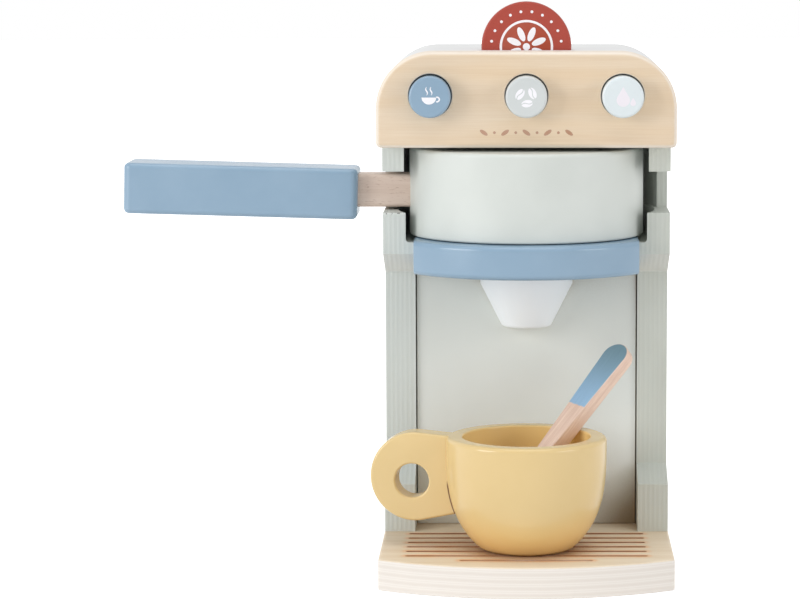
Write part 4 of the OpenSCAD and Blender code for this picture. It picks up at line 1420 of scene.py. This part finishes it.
root_x = HANDLE_OUT + HANDLE_INSET
handle_outline = arc((0, 0), HANDLE_R, 90 - HANDLE_FALL, 270 + HANDLE_SLOPE, 64)
handle_outline.append(tangent(HANDLE_SLOPE - 90, root_x + HANDLE_SLANT, HANDLE_SLOPE))
handle_outline.append(tangent(90 - HANDLE_FALL, root_x, -HANDLE_FALL))

# %% The handle and its finger hole
HANDLE_EDGE = 1.0 * MM
FINGER_R = 6.65 * MM
FINGER_RIM = 0.8 * MM
FINGER_OFF = Vector((-1.0, -1.6, 0)) * MM
handle = board("cup_ear", handle_outline, HANDLE_T)
round_edges(handle, HANDLE_EDGE, 6, is_sharp)
finger_profile = (
    [(0, -SPARE), (FINGER_R + FINGER_RIM, -SPARE)]
    + arc((FINGER_R + FINGER_RIM, FINGER_RIM), FINGER_RIM, 270, 180, 6)
    + arc((FINGER_R + FINGER_RIM, HANDLE_T - FINGER_RIM), FINGER_RIM, 180, 90, 6)
    + [(FINGER_R + FINGER_RIM, HANDLE_T + SPARE), (0, HANDLE_T + SPARE)]
)
finger_hole = turned("finger_hole", finger_profile, 96)
cut(handle, move(finger_hole, Matrix.Translation(FINGER_OFF)))
turn_back = Matrix.Rotation(math.radians(-HANDLE_TURN), 4, "Z")
beside_cup = Matrix.Translation((-handle_reach, HANDLE_T / 2, handle_rise)) @ toward_front
move(handle, Matrix.Translation((0, cup_y, cup_low.z)) @ turn_back @ beside_cup)

# %% The dark seam where the handle's lower half meets the cup
SEAM_HIGH = 27 * MM
SEAM_COLOUR = screen(104, 62, 30)
ear_paint = cup_paint.copy()
ear_paint.name = "cup paint with a seam"
tree, shader, base, place = reopened(ear_paint)
across, depth_in, up = [part_of(tree, place, axis) for axis in "XYZ"]
up = minus(tree, up, cup_low.z)
to_rim = calc(tree, "SUBTRACT", 1.0, calc(tree, "DIVIDE", up, cup_h), clamp=True)
share = minus(tree, 1.0, calc(tree, "POWER", to_rim, FULLNESS))
swell = times(tree, calc(tree, "POWER", share, BELLY), CUP_R - CUP_FOOT_R)
wall_r = plus(tree, swell, CUP_FOOT_R)
back = minus(tree, depth_in, cup_y)
squares = plus(tree, times(tree, back, back), times(tree, across, across))
clear_of_wall = minus(tree, calc(tree, "SQRT", squares), wall_r)
close = ramp(tree, clear_of_wall, 0.3 * MM, 0.65 * MM, 1.0, 0.0)
low_down = ramp(tree, up, SEAM_HIGH - 3 * MM, SEAM_HIGH, 1.0, 0.0)
give(tree, shader, blend_colours(tree, times(tree, close, low_down), base, SEAM_COLOUR))
hand_over(handle, ear_paint, "cup", ["cup_handle"])

# %% [markdown]
# ## The stirrer
# The stirrer is a flat beech stick that leans in the cup, with blue paint on the broad faces of
# its paddle. Its form is right in the frame and is copied. The stick's own axes are worked out
# first, so that the grain runs along it and the paint begins at a measured length up the stick,
# whatever way it leans.

# %% The stirrer's own axes
STICK_LEAN = math.radians(44.44)
STICK_TURN = math.radians(34.71)
STICK_TWIST = math.radians(12)
stick_axes = (
    Matrix.Rotation(STICK_TURN, 3, "Z")
    @ Matrix.Rotation(STICK_LEAN, 3, "Y")
    @ Matrix.Rotation(STICK_TWIST, 3, "Z")
)
thick_way, wide_way, long_way = stick_axes.col
along_stick = [v.co.dot(long_way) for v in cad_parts["stirrer"].data.vertices]
foot_at, head_at = min(along_stick), max(along_stick)
print("stick, in mm:", round((head_at - foot_at) / MM, 1))

# %% The stirrer's wood
stick_paint, tree, shader, place = new_material("stirrer wood and paint")


def measured(vector, way):
    """How far a place lies along a direction, or how far two directions agree."""
    return vectors(tree, "DOT_PRODUCT", vector, tuple(way), "Value")


up_the_stick = minus(tree, measured(place, long_way), foot_at)
own_place = {0: up_the_stick, 1: measured(place, wide_way), 2: measured(place, thick_way)}
run = add(tree, "ShaderNodeCombineXYZ", own_place).outputs[0]
sizes = dict(fibre_length=18 * MM, fibre_width=0.35 * MM, band_width=2.5 * MM)
grain = use(tree, grain_group, vector=run, **sizes)
edge_highlight = use(tree, edge_highlight_group, radius=0.6 * MM)
wood = blend_colours(tree, grain["Band"], screen(242, 216, 198), screen(229, 199, 180))
layers = [
    (times(tree, grain["Fibre"], 0.35), screen(194, 154, 132)),
    # A painted highlight along the rounded edges.
    (times(tree, edge_highlight["Mask"], 0.55), screen(240, 226, 210)),
]
wood = layered(tree, wood, layers)

# %% Blue paint on the broad faces of its paddle
PAINT_FROM = 56.0 * MM
PAINT_FRAY = 0.5 * MM
faces_out = size_of(tree, measured(own_normal_of(tree), thick_way))
broad_face = ramp(tree, faces_out, 0.8, 0.92)
ragged = noise(tree, stretched(tree, place, 1.5 * MM, 1.5 * MM, 1.5 * MM), detail=2)
paint_line = plus(tree, up_the_stick, times(tree, ragged, 0.8 * MM))
past_line = ramp(tree, paint_line, PAINT_FROM, PAINT_FROM + PAINT_FRAY)
painted_part = times(tree, past_line, broad_face)
to_tip = ramp(tree, up_the_stick, PAINT_FROM, head_at - foot_at)
blue_skin = blend_colours(tree, to_tip, screen(156, 192, 222), screen(118, 148, 160))
worn = times(tree, grain["Fibre"], 0.14)
blue_skin = blend_colours(tree, worn, blue_skin, screen(90, 116, 130))
base = blend_colours(tree, painted_part, wood, blue_skin)
give(tree, shader, base, ramp(tree, painted_part, 0, 1, 0.55, 0.38))
bump(tree, shader, grain["Height"], 0.03 * MM)
print("made material", stick_paint.name)

# %% The stirrer
stirrer = softened("stirrer_stick", "stirrer", SOFT_EDGE)
hand_over(stirrer, stick_paint, "stirrer", ["stirrer"])

# %% [markdown]
# ## Floor, light and camera
# The picture is a plain studio one: a pale floor that runs out of sight, a large soft lamp on
# the left, a weaker one on the right and one above. A lamp's level says how much of full light
# it gives a card that faces it, so the levels can be added up in the head.

# %% Where the room is looked at, rather than lighting something
def seen_directly(tree):
    """1 for the camera and for what glossy and clear surfaces show, 0 for soft light."""
    ray = tree.nodes.new("ShaderNodeLightPath").outputs
    direct = calc(tree, "MAXIMUM", ray["Is Camera Ray"], ray["Is Glossy Ray"])
    return calc(tree, "MAXIMUM", direct, ray["Is Transmission Ray"])


# %% The floor
WHITE = (1, 1, 1, 1)
FLOOR_R = 6.0
FLOOR_DROP = 0.02 * MM
FLOOR_SIDES = 60
NEAR_LIFT, FAR_LIFT = 0.45, 0.95
floor_rim = arc((0, 0), FLOOR_R, 0, 360 - 360 / FLOOR_SIDES, FLOOR_SIDES - 1)
floor_points = [(x, y, -FLOOR_DROP) for x, y in floor_rim]
floor = object_from("floor", floor_points, [tuple(range(FLOOR_SIDES))])
floor_paint, tree, shader, place = new_material("studio floor")
speckle = noise(tree, stretched(tree, place, 8 * MM, 8 * MM, 8 * MM), detail=2)
give(tree, shader, blend_colours(tree, speckle, screen(236, 236, 236), screen(240, 240, 240)))
shader.inputs["Roughness"].default_value = 0.9
shader.inputs["Emission Color"].default_value = WHITE
away = vectors(tree, "LENGTH", place, output="Value")
lift = ramp(tree, away, 0.1, 0.6, NEAR_LIFT, FAR_LIFT)
tree.links.new(times(tree, seen_directly(tree), lift), shader.inputs["Emission Strength"])
floor.data.materials.append(floor_paint)
print("floor radius, in m:", FLOOR_R)

# %% The world
AMBIENT = 0.55
world = bpy.data.worlds.new("studio")
bpy.context.scene.world = world
world.use_nodes = True
tree = world.node_tree
tree.nodes.clear()
room = add(tree, "ShaderNodeBackground", {"Color": WHITE, "Strength": AMBIENT}).outputs[0]
backdrop = add(tree, "ShaderNodeBackground", {"Color": WHITE, "Strength": 1.0}).outputs[0]
mixed = add(tree, "ShaderNodeMixShader", {0: seen_directly(tree), 1: room, 2: backdrop})
add(tree, "ShaderNodeOutputWorld", {0: mixed.outputs[0]})
print("light from all round:", AMBIENT)

# %% Soft lamps
TARGET = Vector((0.0, 0.0, 0.11))


def softbox(name, place_at, size, level):
    """A square lamp that gives a card facing it at the target that share of full light."""
    lamp = bpy.data.lights.new(name, "AREA")
    lamp.shape = "SQUARE"
    lamp.size = size
    aim = TARGET - Vector(place_at)
    lamp.energy = level * (math.pi * aim.length) ** 2
    piece = bpy.data.objects.new(name, lamp)
    piece.location = place_at
    piece.rotation_mode = "QUATERNION"
    piece.rotation_quaternion = aim.to_track_quat("-Z", "Y")
    bpy.context.scene.collection.objects.link(piece)
    print(f"{name}: {lamp.energy:.1f} W")


softbox("left_lamp", (-1.6, -0.95, 0.6), 0.9, 0.42)
softbox("right_lamp", (1.6, -0.95, 0.55), 0.8, 0.21)
softbox("top_lamp", (0.0, -0.3, 1.6), 1.2, 0.34)

# %% The camera
CAMERA_BACK = 1.1475
CAMERA_HEIGHT = 0.2468
PITCH = 7.2
FOCAL = 132.3
SENSOR = 36.0
SHIFT_X = -0.158
SHIFT_Y = 0.010
lens = bpy.data.cameras.new("camera")
lens.lens = FOCAL
lens.sensor_width = SENSOR
lens.shift_x = SHIFT_X
lens.shift_y = SHIFT_Y
camera = bpy.data.objects.new("camera", lens)
camera.location = (0.0, -CAMERA_BACK, CAMERA_HEIGHT)
camera.rotation_euler = (math.radians(90 - PITCH), 0, 0)
bpy.context.scene.collection.objects.link(camera)
bpy.context.scene.camera = camera
bpy.context.scene.view_settings.view_transform = "Standard"
print("camera at, in m:", [round(v, 3) for v in camera.location])
